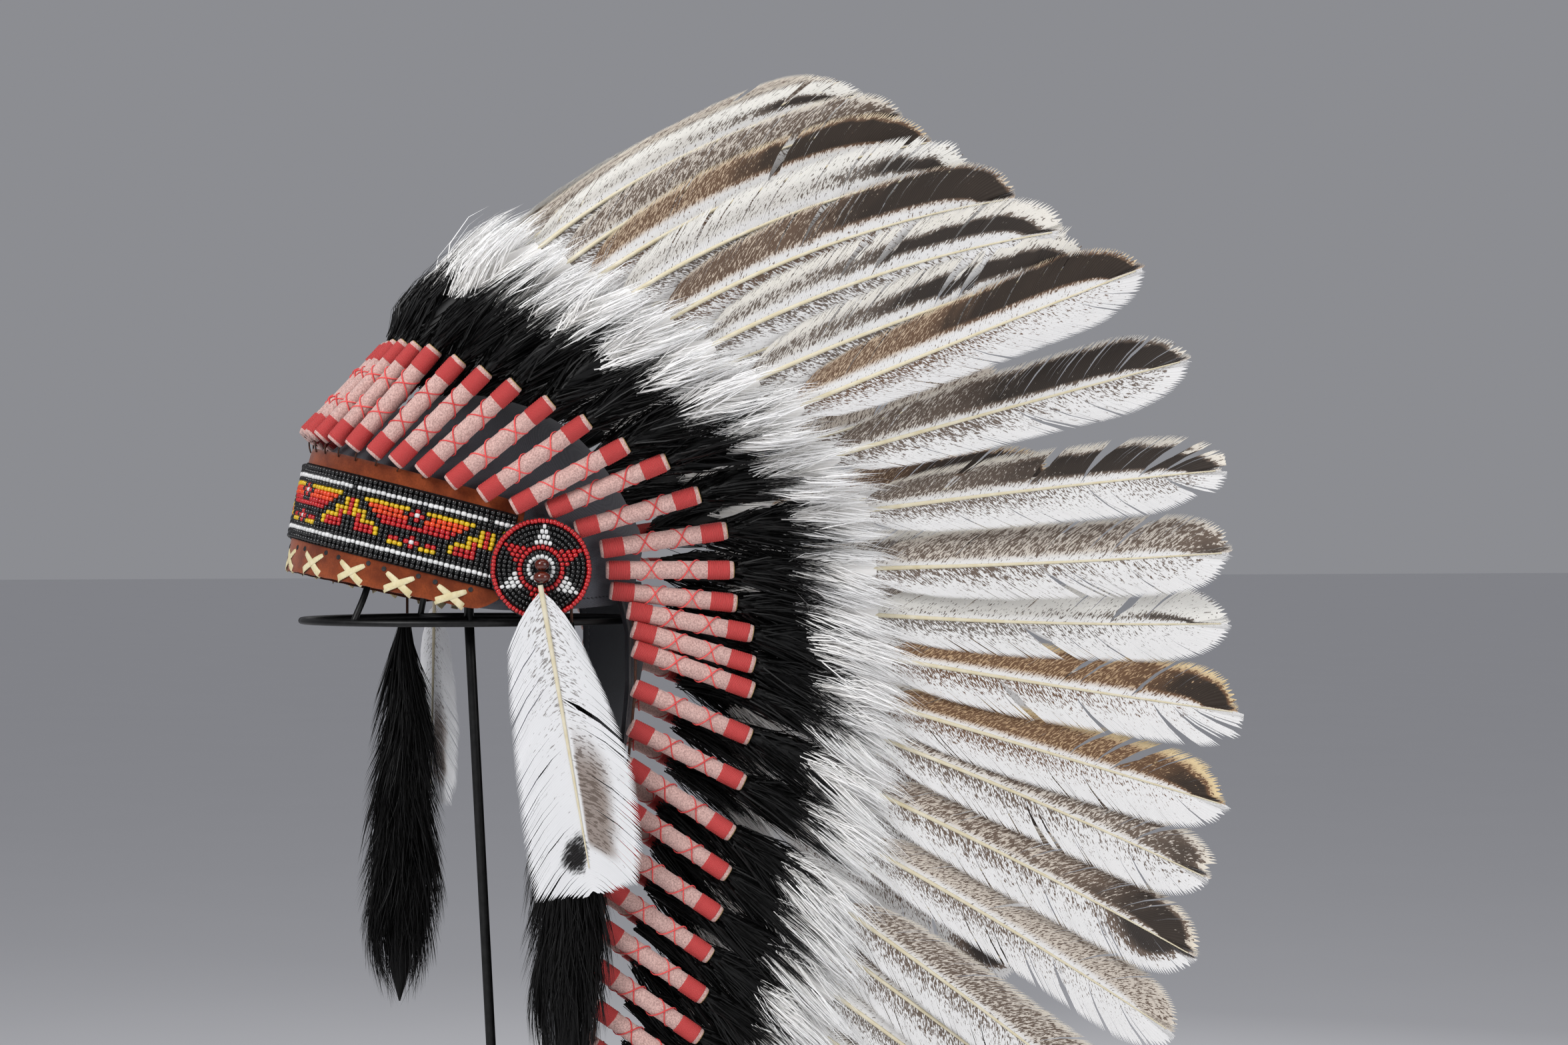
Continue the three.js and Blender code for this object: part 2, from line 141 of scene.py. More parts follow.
def worn(points):
    """From the cap's own frame to the headdress's."""
    x, y, z = points[..., 0], points[..., 1], points[..., 2]
    c, s = math.cos(CAP_TILT), math.sin(CAP_TILT)
    return np.stack([x, RIM_Y + y * c + z * s, RIM_Z - y * s + z * c], -1)


def side_share(turn):
    return np.minimum(np.abs(turn) / 95, 1)


def band_top(turn):
    return 74 - 8 * side_share(turn) ** 1.5


def strip_middle(turn):
    return 42.5 - 6.8 * side_share(turn)


def hem(turn):
    return 1.5 + 25 * np.maximum(0, -np.cos(np.radians(turn))) ** 1.3


class Line:
    """The middle line of a piece, with an upward and an outward direction at each millimetre."""

    def __init__(self, middle, upward, outward):
        self.middle, self.upward, self.outward = middle, upward, outward
        self.steps = np.arange(len(middle))

    def at(self, along, up, out):
        """Points from their distance along the line and their offsets."""
        along, up, out = np.broadcast_arrays(along, up, out)

        def pick(rows):
            return np.stack([np.interp(along, self.steps, c) for c in rows.T], -1)

        return (
            pick(self.middle)
            + pick(self.upward) * up[..., None]
            + pick(self.outward) * out[..., None]
        )


def feather_line(foot, side, rise, bend, flare, facing, roll):
    """The line of a sleeve and its feather. side is 1 on the wearer's left."""

    def heading(along):
        past = np.maximum(0, (along - SLEEVE_LENGTH) / (FEATHER_LENGTH - SLEEVE_LENGTH))
        up = np.radians(rise + bend * past)
        out = np.radians(flare + 4 * past * min(flare / 8, 1))
        return np.stack([side * np.sin(out), np.cos(out) * np.cos(up), np.cos(out) * np.sin(up)], -1)

    steps = np.arange(FEATHER_LENGTH + 3.0)
    middle = foot + np.vstack([np.zeros(3), np.cumsum(heading(steps[:-1] + 0.5), 0)])
    along = heading(steps)
    turn = math.radians(facing)
    across = unit(np.cross(along, (side * math.sin(turn), -math.cos(turn), 0)))
    lean = side * math.radians(roll)
    across = across * math.cos(lean) + np.cross(along, across) * math.sin(lean)
    return Line(middle, -side * across, -np.cross(along, across))


def crown_line(turn, side):
    height, rise, bend, flare, facing, roll = read(CROWN, turn)
    foot = worn(on_head(turn, SLEEVE_OUT, height)) * (side, 1, 1)
    return feather_line(foot, side, rise, bend, flare, facing, roll if turn else 0)


def trail_line(place, side):
    z, rise, bend, flare = read(TRAIL, place)
    foot = np.array([side * TRAIL_X, read(STRAP_LINE, z)[1] + TRAIL_BEHIND, z])
    return feather_line(foot, side, rise, bend, flare, TRAIL_FACING, TRAIL_ROLL)


def hanging_line(name):
    """The straight line of what hangs at a side. Upward is to the front of the head."""
    start, lean, looks, share = HANGING[name]
    along = unit(np.array(lean, float))
    back = unit(np.cross(looks, along))
    out = np.cross(back, along)
    out = out * np.sign(out @ np.array(looks, float))
    steps = np.arange(HANGING_LENGTH + 1.0)[:, None]
    ones = np.ones_like(steps)
    return Line(np.array(start) + steps * along * share, ones * -back, ones * out)


# ---------- meshes ----------


class Heap:
    """Points, faces and marks that gather into one mesh."""

    def __init__(self):
        self.points, self.faces, self.finishes, self.places = [], [], [], []
        self.count = 0

    def add(self, points, faces, finish=0, place=None):
        """points are an array whose last axis is x, y, z. Each array in faces has one corner count."""
        points = np.asarray(points, float).reshape(-1, 3)
        for face in faces:
            self.faces.append(np.asarray(face, int) + self.count)
            self.finishes.append(np.full(len(face), finish))
        self.points.append(points)
        place = np.zeros((len(points), 3)) if place is None else np.asarray(place, float)
        self.places.append(np.broadcast_to(place.reshape(-1, 3), (len(points), 3)))
        self.count += len(points)

    def piece(self, name, finishes, slot, replaced=(), marks=None):
        """One mesh object that rides with the frame."""
        mesh = bpy.data.meshes.new(name)
        points = np.concatenate(self.points) * MM
        corners = np.concatenate([face.ravel() for face in self.faces])
        sizes = np.concatenate([np.full(len(face), face.shape[1]) for face in self.faces])
        mesh.vertices.add(len(points))
        mesh.vertices.foreach_set("co", points.ravel())
        mesh.loops.add(len(corners))
        mesh.loops.foreach_set("vertex_index", corners)
        mesh.polygons.add(len(sizes))
        mesh.polygons.foreach_set("loop_start", np.cumsum(sizes) - sizes)
        mesh.polygons.foreach_set("material_index", np.concatenate(self.finishes))
        mesh.polygons.foreach_set("use_smooth", np.full(len(sizes), True))
        mesh.update(calc_edges=True)
        place = mesh.attributes.new("place", "FLOAT_VECTOR", "POINT")
        place.data.foreach_set("vector", np.concatenate(self.places).ravel())
        for mark, values in (marks or {}).items():
            layer = mesh.attributes.new(mark, "FLOAT_VECTOR", "POINT")
            layer.data.foreach_set("vector", np.tile(values, len(points)))
        for finish in finishes:
            mesh.materials.append(finish.material)
        piece = bpy.data.objects.new(name, mesh)
        bpy.context.scene.collection.objects.link(piece)
        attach(piece, "root")
        if replaced:
            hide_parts(*replaced)
        return piece


def grid(rows, columns, closed=False):
    """Quads over rows by columns of points. A closed grid joins its last column to its first."""
    r = np.arange(rows - 1)[:, None]
    c = np.arange(columns if closed else columns - 1)[None, :]
    d = (c + 1) % columns
    corners = (r * columns + c, r * columns + d, (r + 1) * columns + d, (r + 1) * columns + c)
    return np.stack([np.broadcast_to(k, (rows - 1, c.shape[1])) for k in corners], -1).reshape(-1, 4)


def wall(rows, columns, face):
    """A closed sheet with a thickness. face(u, v, side) gives points, side 0 inside and 1 outside."""
    u, v = np.meshgrid(np.linspace(0, 1, columns), np.linspace(0, 1, rows))
    count = rows * columns
    points = np.concatenate([face(u, v, 0).reshape(-1, 3), face(u, v, 1).reshape(-1, 3)])
    sheet = grid(rows, columns)
    index = np.arange(count).reshape(rows, columns)
    rim = np.concatenate([index[0], index[1:, -1], index[-1, -2::-1], index[-2::-1, 0]])
    edge = np.stack([rim[:-1], rim[1:], rim[1:] + count, rim[:-1] + count], -1)
    return points, [np.concatenate([sheet[:, ::-1], sheet + count, edge[:, ::-1]])]


def tube(path, radius, sides=8, ends=True):
    """A round bar through points, with a radius at each."""
    path = np.asarray(path, float)
    radius = np.broadcast_to(radius, len(path))
    along = unit(np.gradient(path, axis=0))
    across = np.empty_like(along)
    guide = np.eye(3)[np.argmin(np.abs(along[0]))]
    for i, direction in enumerate(along):
        guide = unit(guide - direction * (guide @ direction))
        across[i] = guide
    through = np.cross(along, across)
    angle = np.arange(sides) * 2 * math.pi / sides
    ring = across[:, None] * np.cos(angle)[:, None] + through[:, None] * np.sin(angle)[:, None]
    points = path[:, None] + ring * radius[:, None, None]
    faces = [grid(len(path), sides, closed=True)]
    if ends:
        last = (len(path) - 1) * sides
        faces.append(np.array([np.arange(sides)[::-1], last + np.arange(sides)]))
    return points, faces


def lathe(line, profile, sides, twist=0.0, step=0.0):
    """A turned skin round a line. step makes the radius grow once round, as a rolled sheet's does."""
    along, radius = np.array(profile, float).T
    angle = np.arange(sides) * 2 * math.pi / sides
    grow = 1 + step * np.arange(sides) / sides
    radius = radius[:, None] * grow
    up = radius * np.sin(angle + twist)
    out = radius * np.cos(angle + twist)
    return line.at(along[:, None] + 0 * up, up, out), [grid(len(along), sides, closed=True)]


HAIR_STEPS = np.array([0, 0.4, 0.75, 1])
HAIR_SHARES = HAIR_STEPS[[0, 0, 1, 1, 2, 2, 3]]  # how far along its hair each of a ribbon's points lies


def ribbons(root, bow, tip, width, side):
    """Tapered hairs through a root, a bow and a tip, each a flat ribbon."""
    share = HAIR_STEPS[None, :, None]
    root, bow, tip = root[:, None], bow[:, None], tip[:, None]
    middle = root * (1 - share) ** 2 + 2 * bow * share * (1 - share) + tip * share**2
    half = np.array([1, 0.8, 0.45])[None, :, None] * np.reshape(width, (-1, 1, 1)) / 2
    edge = side[:, None] * half
    count = len(middle)
    pairs = np.stack([middle[:, :3] - edge, middle[:, :3] + edge], 2).reshape(count, 6, 3)
    points = np.concatenate([pairs, middle[:, 3:]], 1)
    start = (np.arange(count) * 7)[:, None]
    quads = np.concatenate([start + (0, 1, 3, 2), start + (2, 3, 5, 4)])
    return points, [quads, start + (4, 5, 6)]


# ---------- finishes ----------


def dye(code):
    """A colour's linear values from its hexadecimal code."""
    shares = [int(code[i : i + 2], 16) / 255 for i in (0, 2, 4)]
    return tuple(((c + 0.055) / 1.055) ** 2.4 if c > 0.04045 else c / 12.92 for c in shares) + (1.0,)


class Wire:
    """A number in a finish. Arithmetic on it adds Math nodes."""

    def __init__(self, finish, socket):
        self.finish, self.socket = finish, socket

    def __add__(self, other):
        return self.finish.maths("ADD", self, other)

    def __sub__(self, other):
        return self.finish.maths("SUBTRACT", self, other)

    def __rsub__(self, other):
        return self.finish.maths("SUBTRACT", other, self)

    def __mul__(self, other):
        return self.finish.maths("MULTIPLY", self, other)

    def __truediv__(self, other):
        return self.finish.maths("DIVIDE", self, other)

    def __abs__(self):
        return self.finish.maths("ABSOLUTE", self)

    __radd__ = __add__
    __rmul__ = __mul__


class Finish:
    """A material and the nodes that paint it."""

    def __init__(self, name, **constants):
        self.material = bpy.data.materials.new(name)
        self.material.use_nodes = True
        self.tree = self.material.node_tree
        self.shader = self.tree.nodes["Principled BSDF"]
        for socket, value in constants.items():
            self.shader.inputs[socket.replace("_", " ")].default_value = value

    def feed(self, socket, value):
        if isinstance(value, Wire):
            self.tree.links.new(value.socket, socket)
        else:
            socket.default_value = value

    def node(self, kind, settings, inputs, output=0):
        """Adds a node: its settings first, then the values or wires of its sockets."""
        node = self.tree.nodes.new("ShaderNode" + kind)
        for name, value in settings.items():
            setattr(node, name, value)
        for socket, value in inputs.items():
            self.feed(node.inputs[socket], value)
        return Wire(self, node.outputs[output])

    def maths(self, operation, *values):
        return self.node("Math", {"operation": operation}, dict(enumerate(values)))

    def paint(self, **inputs):
        """Feeds what varies over the surface."""
        for socket, value in inputs.items():
            self.feed(self.shader.inputs[socket.replace("_", " ")], value)

    def blend(self, mask, first, second):
        return self.node("Mix", {"data_type": "RGBA"}, {0: mask, 6: first, 7: second}, 2)

    def smooth(self, value, low, high):
        """0 below low and 1 above high, eased between."""
        ends = {"Value": value, "From Min": low, "From Max": high}
        return self.node("MapRange", {"interpolation_type": "SMOOTHSTEP"}, ends)

    def mark(self, name):
        """The three numbers that each point carries under a name."""
        vector = self.node("Attribute", {"attribute_name": name}, {}, "Vector")
        return [self.node("SeparateXYZ", {}, {0: vector}, i) for i in range(3)]

    def joined(self, x, y, z):
        return self.node("CombineXYZ", {}, {0: x, 1: y, 2: z})

    def where(self):
        return self.node("TexCoord", {}, {}, "Object")

    def noise(self, vector, scale, detail=2.0, rough=0.5):
        inputs = {"Vector": vector, "Scale": scale, "Detail": detail, "Roughness": rough}
        return self.node("TexNoise", {}, inputs)

    def bump(self, height, strength, distance):
        inputs = {"Height": height, "Strength": strength, "Distance": distance}
        self.paint(Normal=self.node("Bump", {}, inputs))


def vane_finish():
    """Turkey plumage. stripe holds the dark stripe's reach from the tip and its inner and outer edges.
    tone holds the warmth, how thickly the rest is flecked, and the patch below the tip."""
    f = Finish("plumage", Specular_IOR_Level=0.25)
    across, along, seed = f.mark("place")
    reach, inner, outer = f.mark("stripe")
    warmth, flecked, patched = f.mark("tone")
    edge = abs(across)
    upper = f.smooth(across, -0.02, 0.02)
    fleck = f.noise(f.joined(across * 11, along * 98, seed), 1, 2, 0.6)
    cloud = f.noise(f.joined(across * 1.4, along * 6, seed + 5), 1, 2, 0.5)
    speck = (fleck - 0.5) * 2.3 + 0.5
    base = (3.7 - along) / 2.2
    outside = edge + (cloud - 0.5) * 0.22
    stripe = f.smooth(edge, inner, inner + 0.22) * (1 - f.smooth(outside, outer - 0.1, outer + 0.12))
    stripe = stripe * f.smooth(base, 0.005, 0.05)
    solid = 1 - f.smooth(base + (cloud - 0.5) * 0.2, reach - 0.12, reach + 0.3)
    over = stripe * (flecked + (1.1 - flecked) * solid) + (1 - stripe) * 0.17
    under = (1 - f.smooth(edge, 0.05, 1.0)) * (0.22 + 0.36 * f.smooth(base, 0.1, 0.7))
    under = under + patched * (1 - f.smooth(base, 0.16, 0.36)) * (1 - f.smooth(edge, 0.5, 0.9))
    cover = upper * over + (1 - upper) * under
    dark = f.smooth(cover + speck, 0.9, 1.08)
    warm = f.blend(warmth, dye("dfdcd6"), dye("bd9f7c"))
    rim = f.blend(warmth, dye("f1efe9"), dye("e6cfa2"))
    ground = f.blend(upper * f.smooth(edge, inner * 0.9, inner + 0.2), dye("ecebea"), warm)
    ground = f.blend(upper * f.smooth(outside, outer - 0.04, outer + 0.16), ground, rim)
    ink = f.blend(warmth, dye("6a6058"), dye("6b4d36"))
    ink = f.blend(f.smooth(cover, 0.62, 1.0), ink, f.blend(cloud * 0.6, dye("211a17"), dye("3a2f28")))
    colour = f.blend(dark * 0.98, ground, ink)
    # A faint grey line at each barb (8d8478) is painted shade between the barbs; the same wave also raises
    # the barbs' bump.
    barbs = f.maths("SINE", along * 480)
    colour = f.blend((barbs + 1) * 0.025, colour, dye("8d8478"))
    f.paint(Base_Color=colour, Roughness=0.6 + fleck * 0.2)
    f.bump(barbs * 0.3 + fleck * 0.5, 0.2, 0.0003)
    return f


def side_vane_finish():
    """White plumage with flecks by the shaft, a brown cloud behind it and a black eye near the tip."""
    f = Finish("white_plumage", Specular_IOR_Level=0.25)
    across, along, seed = f.mark("place")
    edge = abs(across)
    fleck = f.noise(f.joined(across * 9, along * 80, seed), 1, 2, 0.6)
    cloud = f.noise(f.joined(across * 1.5, along * 6, seed + 5), 1, 2, 0.5)
    speck = (fleck - 0.5) * 2.3 + 0.5
    rear = f.smooth(across * -1, 0.02, 0.12)
    smoke = rear * f.smooth(along, 0.6, 1.2) * (1 - f.smooth(along, 1.44, 1.58))
    smoke = smoke * (1 - f.smooth(edge + (cloud - 0.5) * 0.3, 0.3, 0.8))
    eye = f.maths("POWER", (across - 0.2) * 4.0, 2) + f.maths("POWER", (along - 1.54) * 8.5, 2)
    eye = 1 - f.smooth(eye + (fleck - 0.5) * 2.2, 0.3, 1.4)
    flecks = (1 - f.smooth(edge, 0.1, 0.9)) * (1 - f.smooth(along, 0.3, 1.5)) * 0.42
    dark = f.smooth(smoke * 0.5 + flecks + speck, 0.97, 1.16)
    colour = f.blend(f.smooth(smoke, 0.1, 0.9) * 0.8, dye("eeeeef"), dye("7c6655"))
    colour = f.blend(dark * 0.7, colour, dye("54453b"))
    colour = f.blend(eye, colour, dye("120f0e"))
    # A faint grey line at each barb (9a9a9e) is painted shade between the barbs; the same wave also raises
    # the barbs' bump.
    barbs = f.maths("SINE", along * 420)
    colour = f.blend((barbs + 1) * 0.02, colour, dye("9a9a9e"))
    f.paint(Base_Color=colour, Roughness=0.6 + fleck * 0.2)
    f.bump(barbs * 0.3 + fleck * 0.5, 0.15, 0.0003)
    return f


def shaft_finish():
    f = Finish("quill", Specular_IOR_Level=0.5)
    _, along, seed = f.mark("place")
    grain = f.noise(f.joined(seed, along * 14, 0.0), 1, 2, 0.5)
    f.paint(Base_Color=f.blend(grain, dye("cdbd8e"), dye("efe9d6")), Roughness=0.32 + grain * 0.12)
    return f


def fur_finish(name, root, tip, rough):
    f = Finish(name, Specular_IOR_Level=0.3)
    tone, along, _ = f.mark("place")
    colour = f.blend(f.smooth(along, 0.0, 0.9), dye(root), dye(tip))
    f.paint(Base_Color=f.blend(tone * 0.35, colour, dye(root)), Roughness=rough + tone * 0.15)
    return f


def felt_finish():
    f = Finish("felt", Sheen_Weight=0.25, Sheen_Roughness=0.6, Specular_IOR_Level=0.1)
    here = f.where()
    wool = f.noise(here, 1000, 4, 0.75)
    cloud = f.noise(here, 60, 2, 0.5)
    colour = f.blend(f.smooth(wool, 0.32, 0.68), dye("a5807a"), dye("f0cbc2"))
    colour = f.blend(cloud * 0.5, colour, dye("cfa59c"))
    f.paint(Base_Color=colour, Roughness=0.85 + wool * 0.1)
    f.bump(wool, 0.5, 0.0006)
    return f


def thread_finish():
    f = Finish("red_thread", Specular_IOR_Level=0.35)
    _, along, seed = f.mark("place")
    # The thread's turns: one wave raises the winding's bump, and it also paints the grooves between turns
    # darker red (b92228) as painted shade.
    winding_and_groove_shade = f.maths("SINE", along * 1010 + seed)
    fuzz = f.noise(f.where(), 1400, 2, 0.5)
    colour = f.blend(fuzz, dye("fb4c50"), dye("ff7670"))
    f.paint(Base_Color=f.blend(0.72 + winding_and_groove_shade * 0.28, dye("b92228"), colour), Roughness=0.5 + fuzz * 0.2)
    f.bump(winding_and_groove_shade * 0.7 + fuzz * 0.3, 0.9, 0.0005)
    return f


def suede_finish():
    f = Finish("suede", Sheen_Weight=0.3, Sheen_Roughness=0.5, Specular_IOR_Level=0.12)
    here = f.where()
    nap = f.noise(here, 900, 4, 0.7)
    wear = f.noise(here, 45, 3, 0.6)
    colour = f.blend(f.smooth(wear, 0.3, 0.7), dye("6a2c14"), dye("9c4a24"))
    colour = f.blend(f.smooth(nap, 0.3, 0.7) * 0.35, colour, dye("431d0c"))
    f.paint(Base_Color=colour, Roughness=0.82 + nap * 0.14)
    f.bump(nap, 0.4, 0.0005)
    return f


def cloth_finish(name, dark, light, pitch):
    """A woven cloth whose threads lie a pitch apart, in millimetres."""
    f = Finish(name, Sheen_Weight=0.2, Sheen_Roughness=0.5, Specular_IOR_Level=0.15)
    here = f.where()
    turn = 2 * math.pi / (pitch * MM)
    x, y, z = [f.node("SeparateXYZ", {}, {0: here}, i) for i in range(3)]
    weave = f.maths("SINE", (x + y) * turn) * f.maths("SINE", z * turn)
    fuzz = f.noise(here, 800, 3, 0.6)
    colour = f.blend(fuzz * 0.6 + (weave + 1) * 0.2, dye(dark), dye(light))
    f.paint(Base_Color=colour, Roughness=0.84 + fuzz * 0.12)
    f.bump(weave * 0.5 + fuzz * 0.5, 0.4, 0.0004)
    return f


def bead_finish(name, code, rough):
    """Opaque glass, each bead a little darker or lighter."""
    f = Finish(name, Coat_Weight=0.4, Coat_Roughness=0.08, Specular_IOR_Level=0.5)
    tone, _, _ = f.mark("place")
    base = dye(code)
    deep = tuple(c * 0.68 for c in base[:3]) + (1.0,)
    dust = f.noise(f.where(), 500, 2, 0.5)
    f.paint(Base_Color=f.blend(tone * 0.6 + dust * 0.15, base, deep), Roughness=rough + dust * 0.1)
    return f


def plain_finish(name, dark, light, scale, rough, bump=0.2, **constants):
    """A smooth material whose tone drifts a little."""
    f = Finish(name, **constants)
    drift = f.noise(f.where(), scale, 3, 0.6)
    colour = f.blend(f.smooth(drift, 0.3, 0.7), dye(dark), dye(light))
    f.paint(Base_Color=colour, Roughness=rough + drift * 0.12)
    f.bump(drift, bump, 0.0003)
    return f


plumage = vane_finish()
white_plumage = side_vane_finish()
quill = shaft_finish()
black_fur = fur_finish("black_fur", "050505", "0d0c0c", 0.42)
white_fur = fur_finish("white_fur", "fcfaf7", "ffffff", 0.6)
felt = felt_finish()
red_thread = thread_finish()
suede = suede_finish()
cap_cloth = cloth_finish("cap_cloth", "3b3c41", "66676e", 0.9)
# The strap's cloth is painted darker than the cap's cloth: painted shade, for the shadow that the strap hangs
# in.
strap_cloth_with_painted_shade = cloth_finish("strap_cloth_with_painted_shade", "1b1c1f", "3a3b40", 0.9)
core = plain_finish("rolled_core", "a98652", "cdb07a", 900, 0.7)
lace = plain_finish("cream_lace", "d6c798", "e6dbb6", 260, 0.5, Specular_IOR_Level=0.35)
knot_thread = plain_finish("brown_knot", "2a130a", "55301c", 700, 0.7)
hem_thread = plain_finish("grey_hem_thread", "4a4b50", "6d6e74", 900, 0.7)
backing = plain_finish("black_backing", "0d0d0e", "242427", 500, 0.6)
steel = plain_finish("black_steel", "0c0c0c", "1b1b1b", 250, 0.38, 0.1, Metallic=0.4)
amber_glass = plain_finish("dark_red_glass", "330d06", "6b2411", 90, 0.05, 0.0, Coat_Weight=0.6, IOR=1.52)
BEADS = {
    "K": bead_finish("black_beads", "0a0a0b", 0.12),
    "W": bead_finish("white_beads", "efefee", 0.22),
    "R": bead_finish("red_beads", "c8161c", 0.2),
    "O": bead_finish("orange_beads", "f04a18", 0.2),
    "Y": bead_finish("yellow_beads", "e8c010", 0.22),
}
COLOURS = list(BEADS)

# ---------- feathers ----------

VANE_START, TIP_START, VANE_END = 150, 322, 371.5
BARB_PITCH = 1.3
BARB_SHARES = np.array([0, 0.3, 0.6, 0.86, 1])
SHINGLE = 0.12  # how far one barb's edge tucks under the next
QUILL_TIP, QUILL_FLATNESS, QUILL_PROUD = 0.35, 0.8, 0.15

# How a feather is marked: the dark stripe's reach, its inner and its outer edge; the warmth, how
# thickly the rest is flecked and how dark the patch below the tip is.
MARKINGS = {
    "stripe": ((0.42, 0.05, 0.8), (0.25, 0.66, 0.25)),
    "brown": ((0.42, 0.24, 0.86), (0.8, 0.58, 0.1)),
    "white": ((0.24, 0.1, 0.5), (0.03, 0.3, 0.0)),
    "golden": ((0.34, 0.12, 0.84), (0.6, 0.68, 0.0)),
    "grey": ((0.5, 0.14, 0.58), (0.12, 0.52, 0.1)),
    "tan": ((0.14, 0.1, 0.76), (1.0, 0.6, 0.0)),
    "line": ((0.26, 0.03, 0.3), (0.0, 0.34, 0.0)),
    "patch": ((0.26, 0.0, 0.84), (0.4, 0.56, 0.85)),
    "plain": ((-0.3, 0.0, 0.9), (0.35, 0.42, 0.0)),
    "speckled": ((0.02, 0.02, 0.85), (0.3, 0.55, 0.15)),
}
CROWN_MARKINGS = (
    "speckled plain speckled white speckled brown white golden grey grey brown stripe stripe speckled line"
).split()
TRAIL_MARKINGS = (
    "tan tan speckled patch plain speckled stripe white grey golden brown tan stripe plain white"
).split()


def vane(heap, line, start, end, outline, lean, pitch, cup, splits, fray, seed, square=0.0):
    """Both vanes of a feather as barbs. outline(along, side) is a vane's reach, and lean is how far a
    barb's tip lies past its root. Groups of barbs part at splits. A square tip spreads its barbs."""
    roots = np.arange(start, end - 2, pitch)
    for side in (1, -1):
        count = len(roots)
        breaks = chance.random(count) < splits / count
        breaks[: count // 8] = False
        group = np.cumsum(breaks)
        slip = np.concatenate([[0], chance.normal(0, fray, group.max())])[group]
        lift = np.concatenate([[0], chance.uniform(-0.4, 0.4, group.max()) * fray])[group]
        loose = chance.normal(0, 0.3 + 0.4 * fray, count) * np.clip((roots - end + 50) / 50, 0.1, 1)
        short = 1 - np.abs(chance.normal(0, 0.012, count)) - (chance.random(count) < 0.03) * 0.07
        for notch in chance.integers(count // 3, count - 4, chance.integers(0, 1 + int(fray * 1.4))):
            torn = np.arange(notch, min(count, notch + chance.integers(2, 8)))
            short[torn] -= chance.uniform(0.1, 0.45) * chance.uniform(0.6, 1, len(torn))
        pair = roots[:, None] + np.array([0, pitch * 1.15])
        reach = np.minimum(lean, (end - pair) * 0.98)
        tip_s = pair + reach + (slip + loose * 0.9)[:, None]
        tip_x = outline(np.minimum(pair + reach, end), side) * (short + loose * 0.012)[:, None]
        tip_x = tip_x * np.clip((end - pair) / lean, 0, 1) ** square
        share = BARB_SHARES[None, :, None]
        s0, s2, x2 = pair[:, None], tip_s[:, None], tip_x[:, None]
        s1, x1 = s0 + 0.3 * (s2 - s0), 0.55 * x2
        s = s0 * (1 - share) ** 2 + 2 * s1 * share * (1 - share) + s2 * share**2
        x = 2 * x1 * share * (1 - share) + x2 * share**2
        s[:, -1] = s[:, -1].mean(1, keepdims=True)
        x[:, -1] = x[:, -1].mean(1, keepdims=True) + 0.4
        out = -cup * share**2 * np.minimum(x2 / 20, 1) + lift[:, None, None] * share**2
        out = out - np.array([0, SHINGLE])
        ripple = (0.35 * np.sin(s * 0.16 + seed + side) + 0.25 * np.sin(s * 0.41 + seed)) * share
        points = line.at(s, side * x, out + ripple)
        corners = 2 * len(BARB_SHARES)
        first = (np.arange(count) * corners)[:, None]
        quads = [first + (k, k + 1, k + 3, k + 2) for k in (0, 2, 4)]
        tips = first + (6, 7, 8)
        if side > 0:
            quads, tips = [q[:, ::-1] for q in quads], tips[:, ::-1]
        place = np.stack(np.broadcast_arrays(side * share, s0 / 100, seed), -1)
        heap.add(points, [np.concatenate(quads), tips], 0, place)


def quill_tube(heap, line, start, end, thick, seed):
    """The tapering shaft, flattened a little and proud of the vanes on the outer face."""
    rings, sides = 22, 7
    along = np.linspace(start, end, rings)
    share = (along - start) / (end - start)
    radius = thick * (1 - share) + QUILL_TIP * share
    angle = np.arange(sides) * 2 * math.pi / sides
    up = radius[:, None] * np.cos(angle)
    out = radius[:, None] * np.sin(angle) * QUILL_FLATNESS + QUILL_PROUD
    place = np.stack(np.broadcast_arrays(0.0, along[:, None] / 100 + 0 * up, seed), -1)
    heap.add(line.at(along[:, None] + 0 * up, up, out), [grid(rings, sides, closed=True)], 1, place)


